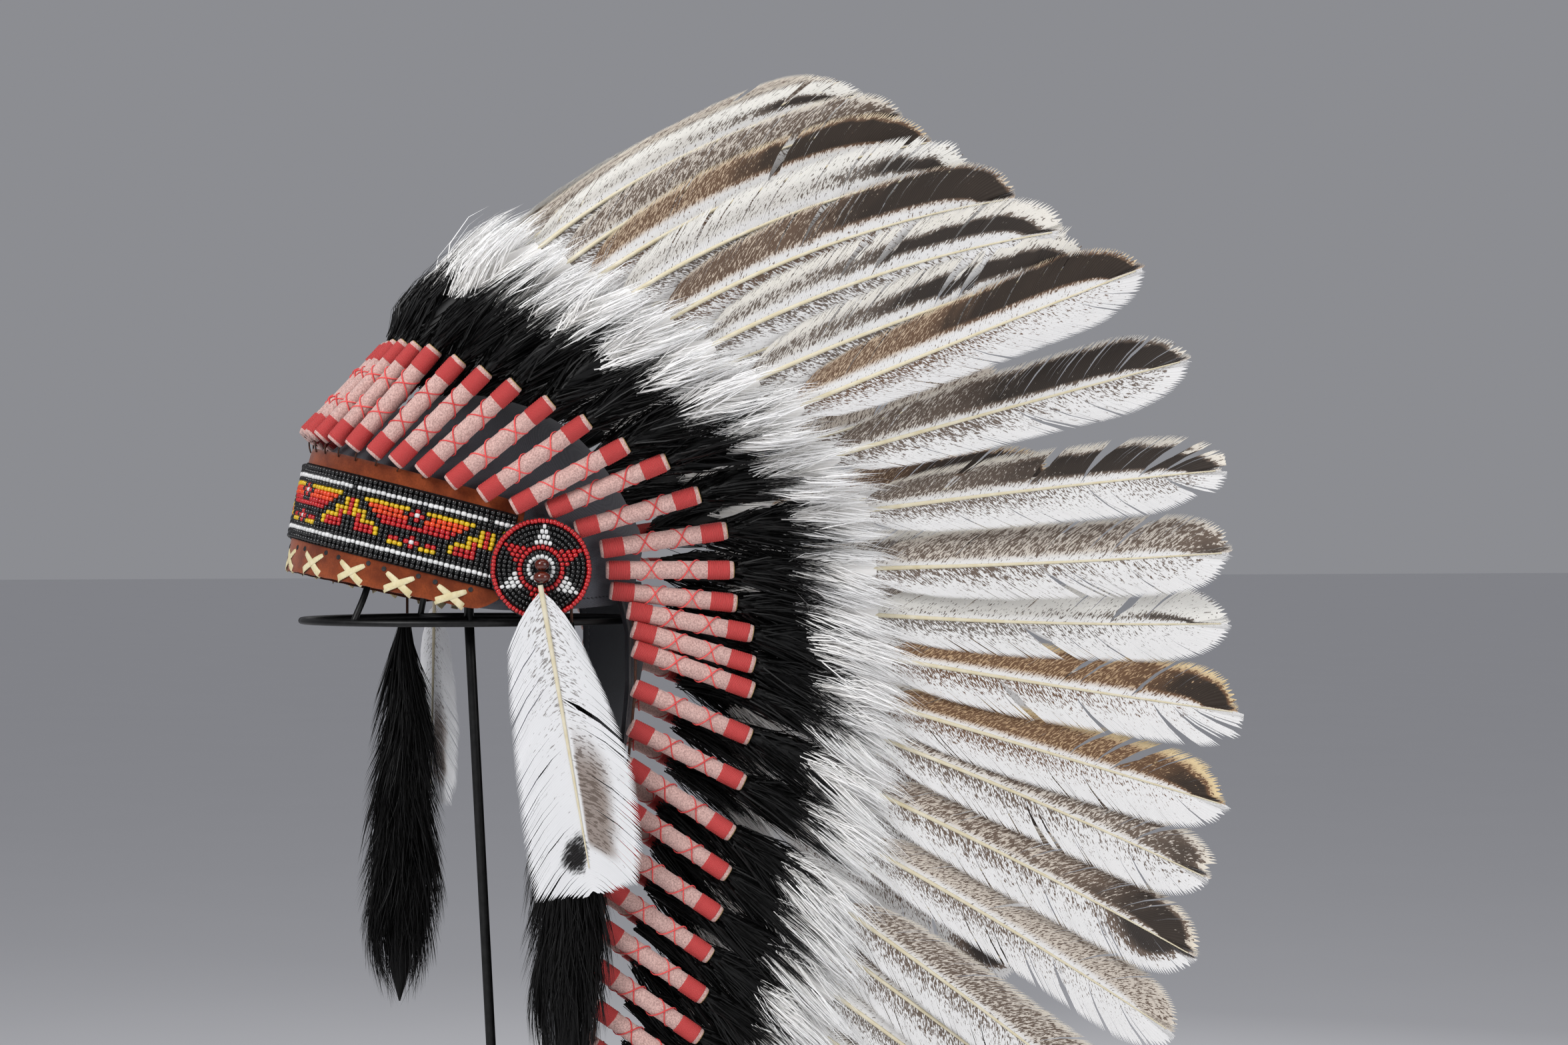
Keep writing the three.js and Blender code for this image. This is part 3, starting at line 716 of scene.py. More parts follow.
def tuft(heap, line, count, finish, roots, lengths, root_reach, tip_reach, sag, width, locks, seed):
    """Long hairs that stream off the quill towards the feather's tip and gather into pointed locks.
    A reach is how far a hair may lie along the vane and through it."""
    root_s = chance.uniform(*roots, count)
    angle = chance.uniform(0, 2 * math.pi, count)
    root_r = np.sqrt(chance.random(count))
    root_u = root_r * np.cos(angle) * root_reach[0]
    root_o = root_r * np.sin(angle) * root_reach[1] - 0.7 * np.maximum(0, SLEEVE_LENGTH + 5 - root_s)
    lock_angle = chance.uniform(0, 2 * math.pi, locks)
    lock_r = np.sqrt(chance.random(locks))
    lock_u = lock_r * np.cos(lock_angle)
    lock_o = lock_r * np.sin(lock_angle)
    lock_s = chance.uniform(0, 1, locks)
    own = np.argmin(
        (root_u[:, None] / root_reach[0] + chance.normal(0, 0.3, (count, 1)) - lock_u) ** 2
        + (root_o[:, None] / root_reach[1] + chance.normal(0, 0.3, (count, 1)) - lock_o) ** 2,
        1,
    )
    stray = 1 + (chance.random(count) < 0.12) * chance.uniform(1, 6, count)
    low, high = lengths
    length = low + (high - low) * np.clip(lock_s[own] + chance.normal(0, 0.26, count), -0.4, 1.15)
    tip_u = lock_u[own] * tip_reach[0] + chance.normal(0, 0.9, count) * stray
    tip_o = 1.5 + lock_o[own] * tip_reach[1] + chance.normal(0, 0.7, count) * stray
    root = line.at(root_s, root_u, root_o)
    drop = np.array([0, 0, -1.0])
    bend_u, bend_o = chance.normal(0, 2.4, (2, count))
    bow = line.at(
        root_s + length * 0.45, root_u * 0.7 + tip_u * 0.85 + bend_u, root_o * 0.8 + tip_o * 1.1 + bend_o
    )
    tip = line.at(root_s + length, tip_u, tip_o) + drop * sag
    side = unit(np.cross(unit(tip - root), chance.normal(0, 1, (count, 3))))
    points, faces = ribbons(root, bow, tip, chance.uniform(0.5, 1.1, count) * width, side)
    tone = chance.random(count)[:, None]
    place = np.stack(np.broadcast_arrays(tone, HAIR_SHARES, seed), -1)
    heap.add(points, faces, finish, place)


def plug(heap, line, profile, finish, seed):
    """The dense heart of a tuft, wider along the vane than through it."""
    sides = 10
    along, up, out = np.array(profile, float).T
    angle = np.arange(sides) * 2 * math.pi / sides
    u = up[:, None] * np.cos(angle)
    o = out[:, None] * np.sin(angle)
    place = np.stack(np.broadcast_arrays(0.5, 0.0 * u, seed), -1)
    faces = [grid(len(along), sides, closed=True)]
    heap.add(line.at(along[:, None] + 0 * u, u, o), faces, finish, place)


SLEEVE_WALL = 1.4
BINDINGS = ((1.6, 14.4), (SLEEVE_LENGTH - 15.4, SLEEVE_LENGTH - 2))
WINDING_CREST, WINDING_VALLEY, WINDING_END = 5.78, 5.56, 5.2
CROSS_START, CROSS_END, CROSS_TURN, CROSS_THREAD = 14, 60, 22, 0.42
CROSS_MEET, CROSS_RADIUS, CROSS_PASS = 26.5, 5.75, 0.25


def sleeve(heap, line, seed):
    """A rolled felt tube, bound with thread at both ends and crossed twice between."""
    turn = seed * 1.7
    inner = SLEEVE_RADIUS - SLEEVE_WALL
    end = SLEEVE_LENGTH
    skin = [(0.3, 1.2), (0, 3.6), (0.2, 4.7), (1.2, 5.1), (end - 1, 5.1), (end, 4.8)]
    heap.add(*lathe(line, skin, 18, turn, 0.07), 0)
    rim = [(end, 4.85), (end + 0.5, 4.5), (end + 0.4, inner), (end - 3, inner)]
    heap.add(*lathe(line, rim, 14, turn), 2)
    for low, high in BINDINGS:
        rings = np.linspace(low, high, 19)
        ridge = np.where(np.arange(len(rings)) % 2, WINDING_CREST, WINDING_VALLEY)
        ridge[[0, -1]] = WINDING_END
        points, faces = lathe(line, np.stack([rings, ridge], 1), 14, turn)
        place = np.stack(np.broadcast_arrays(0.0, rings[:, None] / 100, np.full(14, seed)[None]), -1)
        heap.add(points, faces, 1, place)
    along = np.linspace(CROSS_START, CROSS_END, 36)
    for way in (1, -1):
        angle = way * (along - CROSS_MEET) * 2 * math.pi / CROSS_TURN
        radius = CROSS_RADIUS + CROSS_PASS * way
        path = line.at(along, radius * np.sin(angle), radius * np.cos(angle))
        heap.add(*tube(path, CROSS_THREAD, 4, ends=False), 1, (0, 0, seed))


HAIRS = 520
# distance up the feather and reach of a vane
VANE_REACH = np.array([(150, 8), (172, 14.5), (200, 19.5), (240, 22.5), (320, 24.3), (372, 24.3)])
# distance up the feather, half width and half thickness of each tuft's heart
BLACK_HEART = [(73, 1.5, 1.5), (82, 3.5, 3), (97, 9, 6.5), (114, 9, 6), (128, 2, 1)]
WHITE_HEART = [(108, 3, 2), (120, 9, 6), (140, 11, 4), (160, 4, 1)]
BARB_LEAN, VANE_CUP, VANE_SPLITS = 27, 2.4, 7
SHAFT_START, SHAFT_END, SHAFT_RADIUS = 120, 366, 1.6
# turn from the brow, and the upper vane's share of the common width: the front ones overlap more
UPPER_SHARE = np.array([(27, 0.5), (53, 1.06)])
LOWER_SHARE = 0.94


def feather(name, line, replaced, marking, sag, number, upper=1.06):
    """One whole feather: its vanes and shaft, its sleeve and its two tufts."""
    seed = float(chance.uniform(0, 60))
    wide, blunt, fray = chance.uniform(0.94, 1.06), chance.uniform(2.0, 3.6), chance.uniform(0.8, 3.2)

    def outline(along, side):
        (reach,) = read(VANE_REACH, along)
        past = np.clip((along - TIP_START) / (VANE_END - TIP_START), 0, 1)
        return wide * reach * (1 - past**blunt) ** 0.52 * (upper if side > 0 else LOWER_SHARE)

    stripe, tone = MARKINGS[marking]
    wobble = chance.uniform(-0.06, 0.06, 3)
    plume = Heap()
    ends = (VANE_START, VANE_END)
    vane(plume, line, *ends, outline, BARB_LEAN, BARB_PITCH, VANE_CUP, VANE_SPLITS, fray, seed)
    quill_tube(plume, line, SHAFT_START, SHAFT_END, SHAFT_RADIUS, seed)
    marks = {"stripe": np.array(stripe) + wobble, "tone": tone}
    plume.piece(name + "_vane", [plumage, quill], "feather", replaced, marks)
    roll = Heap()
    sleeve(roll, line, number)
    roll.piece(name + "_sleeve", [felt, red_thread, core], "felt")
    fur = Heap()
    thick = 11 if upper > 1 else 15
    plug(fur, line, BLACK_HEART, 0, seed)
    plug(fur, line, WHITE_HEART, 1, seed)
    black = {"roots": (62, 98), "lengths": (40, 60), "root_reach": (8, 6), "tip_reach": (16, thick)}
    white = {"roots": (106, 134), "lengths": (33, 50), "root_reach": (11, 8), "tip_reach": (19, thick)}
    tuft(fur, line, int(HAIRS * 1.1), 0, sag=sag, width=1.0, locks=12, seed=seed, **black)
    tuft(fur, line, int(HAIRS * 1.2), 1, sag=sag, width=0.9, locks=15, seed=seed, **white)
    fur.piece(name + "_fur", [black_fur, white_fur], "black_fur")


for hand, side in (("left", 1), ("right", -1)):
    for i, turn in enumerate(CROWN_TURNS):
        label = f"feather_{hand}_{i + 1:02d}"
        marking = CROWN_MARKINGS[i] if side > 0 else CROWN_MARKINGS[(i * 4 + 2) % 15]
        (upper,) = read(UPPER_SHARE, turn)
        feather(label, crown_line(turn, side), [label], marking, 2 + 6 * i / 14, i, upper)
    for i in range(TRAIL_COUNT):
        label = f"trail_feather_{hand}_{i + 1:02d}"
        marking = TRAIL_MARKINGS[i] if side > 0 else TRAIL_MARKINGS[(i * 4 + 2) % 15]
        owned = [] if i else [f"trailer_feathers_{hand}"]
        feather(label, trail_line(i, side), owned, marking, 9, i)
feather("feather_centre", crown_line(0, 1), ["feather_centre"], "stripe", 2, 3, 0.9)

# ---------- cap, band and beads ----------


GORE = 60  # degrees
SEAM_DEPTH, SEAM_WIDTH, HEM_ABOVE_EDGE, HEM_THREAD = 0.6, 1.6, 6, 0.28
HEM_PITCH, HEM_STITCH = 2, 1.1  # degrees


def cap():
    """A cloth cap in six gores, hollow, with a row of stitches over its hem."""
    columns, wall_rows, dome_rows = 96, 8, 19
    turn = np.linspace(0, 360, columns, endpoint=False)[None, :]
    from_seam = np.abs((turn / GORE + 0.5) % 1 - 0.5) * GORE
    skins = []
    for inside in (0, 1):
        out = -CAP_GAP - inside * CAP_WALL
        top = CROWN_RISE - inside * CAP_WALL
        low = hem(turn) + (SHOULDER - hem(turn)) * np.linspace(0, 1, wall_rows)[:, None]
        reach = np.cos(np.linspace(0, math.pi / 2, dome_rows))[1:, None]
        dome = on_head(turn, out, SHOULDER) * (1, 1, 0) * np.maximum(reach, 0.002)[..., None]
        dome[..., 2] = SHOULDER + (top - SHOULDER) * (1 - reach**DOME_POWER)
        dome[..., 2] -= SEAM_DEPTH * np.exp(-((from_seam / SEAM_WIDTH) ** 2)) * reach
        skins.append(worn(np.concatenate([on_head(turn, out, low), dome])).reshape(-1, 3))
    count = len(skins[0])
    sheet = grid(count // columns, columns, closed=True)
    ring = np.arange(columns)
    after = (ring + 1) % columns
    hem_edge = np.stack([after, ring, ring + count, after + count], -1)
    heap = Heap()
    heap.add(np.concatenate(skins), [np.concatenate([sheet, sheet[:, ::-1] + count, hem_edge])])
    for stitch in range(0, 360, HEM_PITCH):
        ends = np.array([stitch, stitch + HEM_STITCH])
        path = on_head(ends, 0.15 - CAP_GAP, hem(stitch) + HEM_ABOVE_EDGE)
        heap.add(*tube(worn(path), HEM_THREAD, 5), 1)
    shell = heap.piece("cap_shell", [cap_cloth, backing], "cap_cloth", ["cap"])


BAND_CORNER, CORNER_START = 14, 84


def brow_band():
    """The suede band, its lower corners cut away in a curve."""

    def face(u, v, side):
        turn = (2 * u - 1) * BAND_END
        past = np.maximum(0, (np.abs(turn) - CORNER_START) / (BAND_END - CORNER_START))
        low = BAND_CORNER * past**2.5
        height = low + (band_top(turn) - low) * v
        worn_edge = 0.15 * np.sin(turn * 0.9) * np.maximum(0, 1 - v * 8)
        swell = 0.3 * np.sin(v * math.pi) * side - 0.5 * side * (np.abs(v - 0.5) * 2) ** 12
        return worn(on_head(turn, -BAND_WALL * (1 - side) + swell, height + worn_edge))

    heap = Heap()
    heap.add(*wall(22, 140, face))
    band = heap.piece("brow_band_suede", [suede], "suede", ["brow_band"])


# The strip's rows from the upper border to the lower one, from the middle of a bird figure to the
# middle of the next stepped figure. The rest is the same, mirrored at both ends.
CHART = [
    "KKKKKKKKKKKKKK",
    "KKKKKKKKKKKKKK",
    "WWWWWWWWWWWWWK",
    "KKKKKKKKKKKKKK",
    "RKYYYYYYYYYKKK",
    "WRKOOOOOOOKKYR",
    "RKOOOOOOOKKKYR",
    "KKRRRRRRKKYYYR",
    "RRRRRRRKKKYRYR",
    "KKKKKKKKYYYRKK",
    "RKKKKKKYRRRRKK",
    "WRKRRKKYRRRRKK",
    "RKYYYKKKKKKKKK",
    "KKKKKKKKKKKKKK",
    "WWWWWWWWWWWWWW",
    "KKKKKKKKKKKKKK",
    "KKKKKKKKKKKKKK",
]
FOLD = len(CHART[0]) - 1  # columns from the middle of one figure to the middle of the next
BEAD_PITCH = 3.25
FIGURE_MIDDLE = 20.5  # how far round to the left the front figure's middle lies

# along the hole and out from it, as shares of a bead's half length and radius
BARREL = np.array([(-1, 0.5), (-0.78, 0.86), (0, 1), (0.78, 0.86), (1, 0.5)])
BARREL_SIDES = 9


def beads(centre, along, across, through, half, radius):
    """Seed beads: short barrels about their holes."""
    angle = np.arange(BARREL_SIDES) * 2 * math.pi / BARREL_SIDES
    ring = across[:, None, None] * np.cos(angle)[:, None] + through[:, None, None] * np.sin(angle)[:, None]
    points = (
        centre[:, None, None]
        + along[:, None, None] * (BARREL[:, 0] * half)[:, None, None]
        + ring * (BARREL[:, 1] * radius)[:, None, None]
    )
    faces = grid(len(BARREL), BARREL_SIDES, closed=True)
    first = np.arange(len(centre)) * len(BARREL) * BARREL_SIDES
    faces = (first[:, None, None] + faces).reshape(-1, 4)
    return points.reshape(len(centre), -1, 3), faces


def sow(name, slot, replaced, centre, along, across, through, half, radius, codes, backing_part):
    """Beads of several colours as one piece, with the backing that they are sewn to."""
    heap = Heap()
    codes = np.array(codes)
    for code in COLOURS:
        chosen = codes == code
        if not chosen.any():
            continue
        wobble = chance.normal(0, 0.09, (chosen.sum(), 3))
        size = chance.normal(1, 0.05, chosen.sum())[:, None]
        frame_of = [v[chosen] * size for v in (along, across, through)]
        points, faces = beads(centre[chosen] + wobble, *frame_of, half, radius)
        tone = np.broadcast_to(chance.random(chosen.sum())[:, None], points.shape[:2])
        place = np.stack(np.broadcast_arrays(tone, 0.0, 0.0), -1)
        heap.add(points, [faces], COLOURS.index(code), place)
    heap.add(*backing_part, len(COLOURS))
    heap.piece(name, [BEADS[code] for code in COLOURS] + [backing], slot, replaced)


BEAD_OUT, STRIP_RIM = 1.75, 1.6
STRIP_BEAD, ROSETTE_BEAD = (1.26, 1.62), (1.08, 1.5)  # half length and radius


def bead_strip():
    """The woven strip: rows and columns of beads that follow the chart and its mirror."""
    turns = np.linspace(-STRIP_END, STRIP_END, 1201)
    plan = on_head(turns, 1.7, 0)
    arc = np.concatenate([[0], np.cumsum(np.linalg.norm(np.diff(plan, axis=0), axis=1))])
    arc -= np.interp(0, turns, arc)
    first = math.ceil((arc[0] + STRIP_RIM - FIGURE_MIDDLE) / BEAD_PITCH)
    last = math.floor((arc[-1] - STRIP_RIM - FIGURE_MIDDLE) / BEAD_PITCH)
    columns = np.arange(first, last + 1)
    turn = np.interp(FIGURE_MIDDLE + columns * BEAD_PITCH, arc, turns)
    fold = np.abs((columns + FOLD) % (2 * FOLD) - FOLD)
    rows = np.arange(len(CHART))
    pitch = STRIP_WIDTH / len(CHART)
    height = strip_middle(turn)[None, :] + (len(CHART) / 2 - 0.5 - rows[:, None]) * pitch
    turn = np.broadcast_to(turn, height.shape)
    centre = worn(on_head(turn, BEAD_OUT, height)).reshape(-1, 3)
    upright = unit(worn(on_head(turn, BEAD_OUT, height + 1)).reshape(-1, 3) - centre)
    level = unit(worn(on_head(turn + 0.1, BEAD_OUT, height)).reshape(-1, 3) - centre)
    codes = [CHART[r][c] for r in rows for c in fold]

    def face(u, v, side):
        t = (2 * u - 1) * STRIP_END
        height = strip_middle(t) + (v - 0.5) * (STRIP_WIDTH + STRIP_RIM)
        return worn(on_head(t, 0.3 + 0.7 * side, height))

    sow(
        "bead_strip_beads", "seed_beads", ["bead_strip"], centre, upright, level,
        np.cross(upright, level), *STRIP_BEAD, codes, wall(4, 120, face),
    )


# radius and how many beads go round
ROSETTE_RINGS = [
    (27.8, 78),
    (24.5, 60),
    (21.5, 54),
    (18.5, 48),
    (15.5, 36),
    (12.4, 30),
    (9.7, 24),
    (7.1, 18),
    (4.6, 12),
]
RED_RINGS, WHITE_RING, STAR_RINGS = (0, 5), 7, 5
STAR_ARMS = "WRWRWR"
STAR_TURN = math.radians(5)
GLASS_BEADS = (("upper", 4.2), ("lower", 4.9))  # each with its radius
GLASS_OUT, GLASS_TOP, GLASS_PITCH, GLASS_HALF = 7.9, 2.4, 7.1, 3.35
RIM_BEADS_OUT, RING_BEADS_OUT = 2.2, 1.8
# height and radius round the black disc
DISC = [(0.6, 0.1), (0, 12), (0, 28.6), (0.5, 29.6), (1.1, 29.4), (1.2, 0.1)]


def rosette_frame(side):
    turn = ROSETTE_TURN[side]
    middle = worn(on_head(turn, ROSETTE_OUT, ROSETTE_HEIGHT)) * (side, 1, 1)
    face = np.array([side * math.sin(ROSETTE_FACES), -math.cos(ROSETTE_FACES), 0])
    level = np.array([side * -face[1], side * face[0], 0])
    return middle, face, level * side


def rosette(hand, side):
    """Rings of beads round a six-armed star, sewn to a black disc."""
    middle, face, level = rosette_frame(side)
    upright = np.array([0.0, 0.0, 1.0])
    centre, around, outward, codes = [], [], [], []
    for ring, (radius, count) in enumerate(ROSETTE_RINGS):
        angle = STAR_TURN + (np.arange(count) + (0 if ring % 2 else 0.5)) * 2 * math.pi / count
        colour = ["K"] * count
        if ring in RED_RINGS:
            colour = ["R"] * count
        elif ring == WHITE_RING:
            colour = ["W"] * count
        elif ring < STAR_RINGS:
            for arm, code in enumerate(STAR_ARMS):
                gap = (angle - STAR_TURN - math.radians(60 * arm) + math.pi) % (2 * math.pi) - math.pi
                for i in np.argsort(np.abs(gap), kind="stable")[:ring]:
                    colour[i] = code
        direction = level * np.sin(angle)[:, None] + upright * np.cos(angle)[:, None]
        along = level * np.cos(angle)[:, None] - upright * np.sin(angle)[:, None]
        height = RING_BEADS_OUT if ring else RIM_BEADS_OUT
        centre.append(middle + direction * radius + face * height)
        around.append(along)
        outward.append(direction)
        codes += colour
    centre, around, outward = map(np.concatenate, (centre, around, outward))
    line = Line(middle + np.arange(5)[:, None] * face, np.tile(upright, (5, 1)), np.tile(level, (5, 1)))
    disc = lathe(line, DISC, 64)
    sow(
        f"rosette_{hand}_beads", "seed_beads", [f"rosette_{hand}"], centre, around, outward,
        np.cross(around, outward), *ROSETTE_BEAD, codes, disc,
    )
    for row, (name, size) in enumerate(GLASS_BEADS):
        steps = np.linspace(-1, 1, 13)
        radius = size * (1 - np.abs(steps) ** 2.6 * 0.62)
        top = middle + face * GLASS_OUT + upright * (GLASS_TOP - row * GLASS_PITCH)
        heap = Heap()
        heap.add(*tube(top - upright * steps[:, None] * GLASS_HALF, radius, 24))
        node = f"glass_bead_{hand}_{name}"
        heap.piece(node + "_glass", [amber_glass], "red_glass", [node])


LACE_PITCH, LACE_COUNT, LACE_START = 31, 11, 79.6
LACE_TOP, LACE_SPAN, HOLE_AT = 9.6, 18.4, 10.4  # sideways, from a cross's middle
# turn from the brow, height of a cross's top and of its foot
LACE_HEIGHTS = np.array([(29, 13.5, 0.9), (84, 9.5, -0.4)])
LACE_SECTION = ((-1, 0), (-0.85, 0.3), (0.85, 0.3), (1, 0), (0.8, -0.3), (-0.8, -0.3))
# A hole's cup: distance along its bore, and radius. It takes the black backing finish as painted shade, the
# dark inside the hole.
HOLE = [(0.62, 0.05), (0.66, 0.8), (1.0, 1.2), (0.9, 1.4), (0.0, 1.5)]
KNOTTED_FEET = 10  # on each side, from the front


def lacing():
    """Flat lace crosses that wrap under the band's lower rim, with the holes that they go through."""
    turns = np.linspace(-BAND_END, BAND_END, 1500)
    plan = on_head(turns, 0, 0)
    length = np.concatenate([[0], np.cumsum(np.linalg.norm(np.diff(plan, axis=0), axis=1))])
    start = np.interp(LACE_START, turns, length)
    heap = Heap()
    share = np.linspace(0, 1, 14)
    for k in range(LACE_COUNT):
        middle = start - LACE_PITCH * k
        at = abs(np.interp(middle, length, turns))
        top, low = read(LACE_HEIGHTS, at)
        for way in (1, -1):
            along = middle + way * (LACE_TOP - LACE_SPAN * share)
            turn = np.interp(along, length, turns)
            height = top + (low - top) * share
            out = 0.35 + 0.25 * (way > 0) * np.exp(-(((share - 0.5) / 0.22) ** 2))
            out = out - 1.2 * np.maximum(0, 1 - share / 0.12) - 1.8 * np.maximum(0, (share - 0.9) / 0.1)
            centre = worn(on_head(turn, out, height))
            normal = unit(worn(on_head(turn, out + 1, height)) - centre)
            across = unit(np.cross(unit(np.gradient(centre, axis=0)), normal))
            half = np.interp(share, (0, 0.14, 0.4, 1), (0.8, 1.6, 2.0, 2.2))[:, None]
            corners = [centre + across * half * a + normal * b for a, b in LACE_SECTION]
            heap.add(np.stack(corners, 1), [grid(len(share), 6, closed=True)])
            # Each lace end sinks into a small black cup: painted shade inside the hole that it goes through.
            past = np.interp(middle + way * HOLE_AT, length, turns)
            hole = worn(on_head(np.array([past, past]), np.array([0.0, 0.5]), top + 0.9))
            bore = Line(hole, np.tile(across[0], (2, 1)), np.tile(np.cross(normal[0], across[0]), (2, 1)))
            heap.add(*lathe(bore, HOLE, 14), 1)
    heap.piece("lacing", [lace, backing], "lace")


def foot_knots():
    """The brown thread that ties each crown sleeve's foot down to the band."""
    heap = Heap()
    for side in (1, -1):
        for turn in CROWN_TURNS[:KNOTTED_FEET]:
            foot = crown_line(turn, side).at(1.5, -3.6, -1.0)
            top = worn(on_head(turn, 0.3, band_top(turn) - 1.8)) * (side, 1, 1)
            share = np.linspace(0, 1, 7)[:, None]
            bulge = worn(on_head(turn, 0.5, 0)) * (side, 1, 1) - worn(on_head(turn, 0, 0)) * (side, 1, 1)
            path = top + (foot - top) * share + bulge * np.sin(share * math.pi)
            heap.add(*tube(path, 0.5, 6))
    heap.piece("foot_knots", [knot_thread], "suede")


cap()
brow_band()
bead_strip()
rosette("left", 1)
rosette("right", -1)
lacing()
foot_knots()

# ---------- what hangs ----------


# distance from the quill's top, reach to the front and reach to the back
SIDE_VANES = np.array([
    (0, 2, 2),
    (10, 14, 8),
    (25, 24, 15),
    (70, 30, 27),
    (110, 33, 35),
    (127, 34, 35),
    (160, 35, 33),
    (176, 35, 28),
    (193, 32, 22),
])
SIDE_SHAFT_TOP = {"left": -8, "right": -24}
SIDE_SHAFT_END, SIDE_SHAFT_RADIUS = 166, 1.7
SIDE_BARBS = {"lean": 32, "pitch": 1.2, "cup": 3.0, "splits": 4, "fray": 1.1, "square": 0.75}

DROP_ROOTS, DROP_HAIRS, DROP_END = (-2, 205), (45, 85), 268


def side_outline(along, side):
    front, back = read(SIDE_VANES, along)
    return front if side > 0 else back


def side_feather(hand):
    name = f"side_feather_{hand}"
    line = hanging_line(name)
    seed = float(chance.uniform(0, 60))
    heap = Heap()
    vane(heap, line, 3, 181, side_outline, seed=seed, **SIDE_BARBS)
    quill_tube(heap, line, SIDE_SHAFT_TOP[hand], SIDE_SHAFT_END, SIDE_SHAFT_RADIUS, seed)
    heap.piece(name + "_vane", [white_plumage, quill], "feather", [name])


def fur_drop(hand):
    """A long tail of black fur: a narrow heart under overlapping hairs."""
    name = f"fur_drop_{hand}"
    line = hanging_line(name)
    heap = Heap()
    along, half, thick = FUR_DROP.T
    plug(heap, line, np.stack([along, half * 0.6, thick * 0.6], 1) - (0, 2.5, 1.2), 0, 0)
    count = 3600
    root_s = chance.uniform(*DROP_ROOTS, count)
    length = chance.uniform(*DROP_HAIRS, count)
    wave = 3.5 * np.sin(root_s * 0.07 + 1)
    own_half, own_thick = read(FUR_DROP, np.clip(root_s, 0, DROP_END))
    angle = chance.uniform(0, 2 * math.pi, count)
    root_u = own_half * 0.5 * np.cos(angle) + wave * 0.5
    root_o = own_thick * 0.5 * np.sin(angle)
    tip_s = np.minimum(root_s + length, DROP_END + 2 + chance.uniform(-14, 4, count))
    tip_half, tip_thick = read(FUR_DROP, np.clip(tip_s, 0, DROP_END))
    clump = np.round(root_s / 14) * 2.1
    tip_angle = angle + chance.normal(0, 0.3, count)
    tip_u = tip_half * 1.15 * np.cos(tip_angle) + 6 * np.sin(clump + np.round(angle * 3))
    tip_o = tip_thick * 1.5 * np.sin(tip_angle)
    root, tip = line.at(root_s, root_u, root_o), line.at(tip_s, tip_u, tip_o)
    bow = line.at((root_s * 0.6 + tip_s * 0.4), root_u * 2.2, root_o * 2.2)
    side = unit(np.cross(unit(tip - root), chance.normal(0, 1, (count, 3))))
    points, faces = ribbons(root, bow, tip, chance.uniform(0.5, 1.0, count), side)
    place = np.stack(np.broadcast_arrays(chance.random(count)[:, None], HAIR_SHARES, 0.0), -1)
    heap.add(points, faces, 0, place)
    top = line.at(0.0, 0.0, 0.0)
    path = top + np.array([[0, 0, 12.0], [0, 0, 6.0], [0, 0, -4.0]])
    heap.add(*tube(path, 0.9, 7), 1)
    heap.piece(name + "_hair", [black_fur, knot_thread], "black_fur", [name])


for hand in ("left", "right"):
    side_feather(hand)
    fur_drop(hand)

# ---------- trailer strap and stand ----------


# stitches, as shares of the strap's width and length
HEM_INSET, EDGE_PITCH, EDGE_STITCH = 0.035, 0.011, 0.0065
FOOT_INSET, FOOT_PITCH, FOOT_STITCH = 0.025, 0.033, 0.02
STITCH_LIFT, STITCH_RADIUS = 0.12, 0.3


def trailer_strap():
    """The cloth strap with its stitched hems, and the cords that lace the feathers to its edges."""

    def face(u, v, side):
        z = STRAP_LINE[0, 0] + (STRAP_LINE[-1, 0] - STRAP_LINE[0, 0]) * (1 - v)
        middle, edge = read(STRAP_LINE, z)
        x = (1 - 2 * u) * STRAP_HALF
        wave = (0.8 * np.sin(v * 17) + 1.4 * v * np.sin(u * 15 + 2 * v)) * (1 - (2 * u - 1) ** 4)
        y = middle + (edge - middle) * (x / STRAP_HALF) ** 2 + side * STRAP_WALL + wave
        return np.stack([x, y, z], -1)

    heap = Heap()
    heap.add(*wall(100, 48, face))
    for edge in (HEM_INSET, 1 - HEM_INSET):
        for stitch in np.arange(0.02, 0.98, EDGE_PITCH):
            row = np.linspace(stitch, stitch + EDGE_STITCH, 3)
            for side, lift in ((0, -STITCH_LIFT), (1, STITCH_LIFT)):
                path = face(np.full(3, edge), row, side) + (0, lift, 0)
                heap.add(*tube(path, STITCH_RADIUS, 5), 1)
    for stitch in np.arange(0.05, 0.95, FOOT_PITCH):
        row = np.linspace(stitch, stitch + FOOT_STITCH, 3)
        path = face(row, np.full(3, 1 - FOOT_INSET), 0) - (0, STITCH_LIFT, 0)
        heap.add(*tube(path, STITCH_RADIUS, 5), 1)
    strap = heap.piece("trailer_strap_cloth", [strap_cloth_with_painted_shade, hem_thread], "cap_cloth", ["trailer_strap"])
    cords = Heap()
    for side in (1, -1):
        feet = np.array([trail_line(i, side).middle[0] for i in range(TRAIL_COUNT)]) + (0, 1.5, 0)
        index = np.linspace(0, TRAIL_COUNT - 1, 90)
        path = np.stack([np.interp(index, np.arange(TRAIL_COUNT), c) for c in feet.T], 1)
        cords.add(*tube(path, 0.9, 7), 0)
    cords.piece("trailer_lacing", [knot_thread], "cap_cloth")


def smooth_path(points, count):
    """A Catmull-Rom curve through points."""
    p = np.array([2 * np.array(points[0]) - points[1], *points, 2 * np.array(points[-1]) - points[-2]], float)
    out = []
    for t in np.linspace(0, len(points) - 1 - 1e-6, count):
        i, f = int(t), t - int(t)
        a, b, c, d = p[i : i + 4]
        square, cube = 2 * a - 5 * b + 4 * c - d, 3 * b - a - 3 * c + d
        out.append(0.5 * (2 * b + (c - a) * f + square * f**2 + cube * f**3))
    return np.array(out)


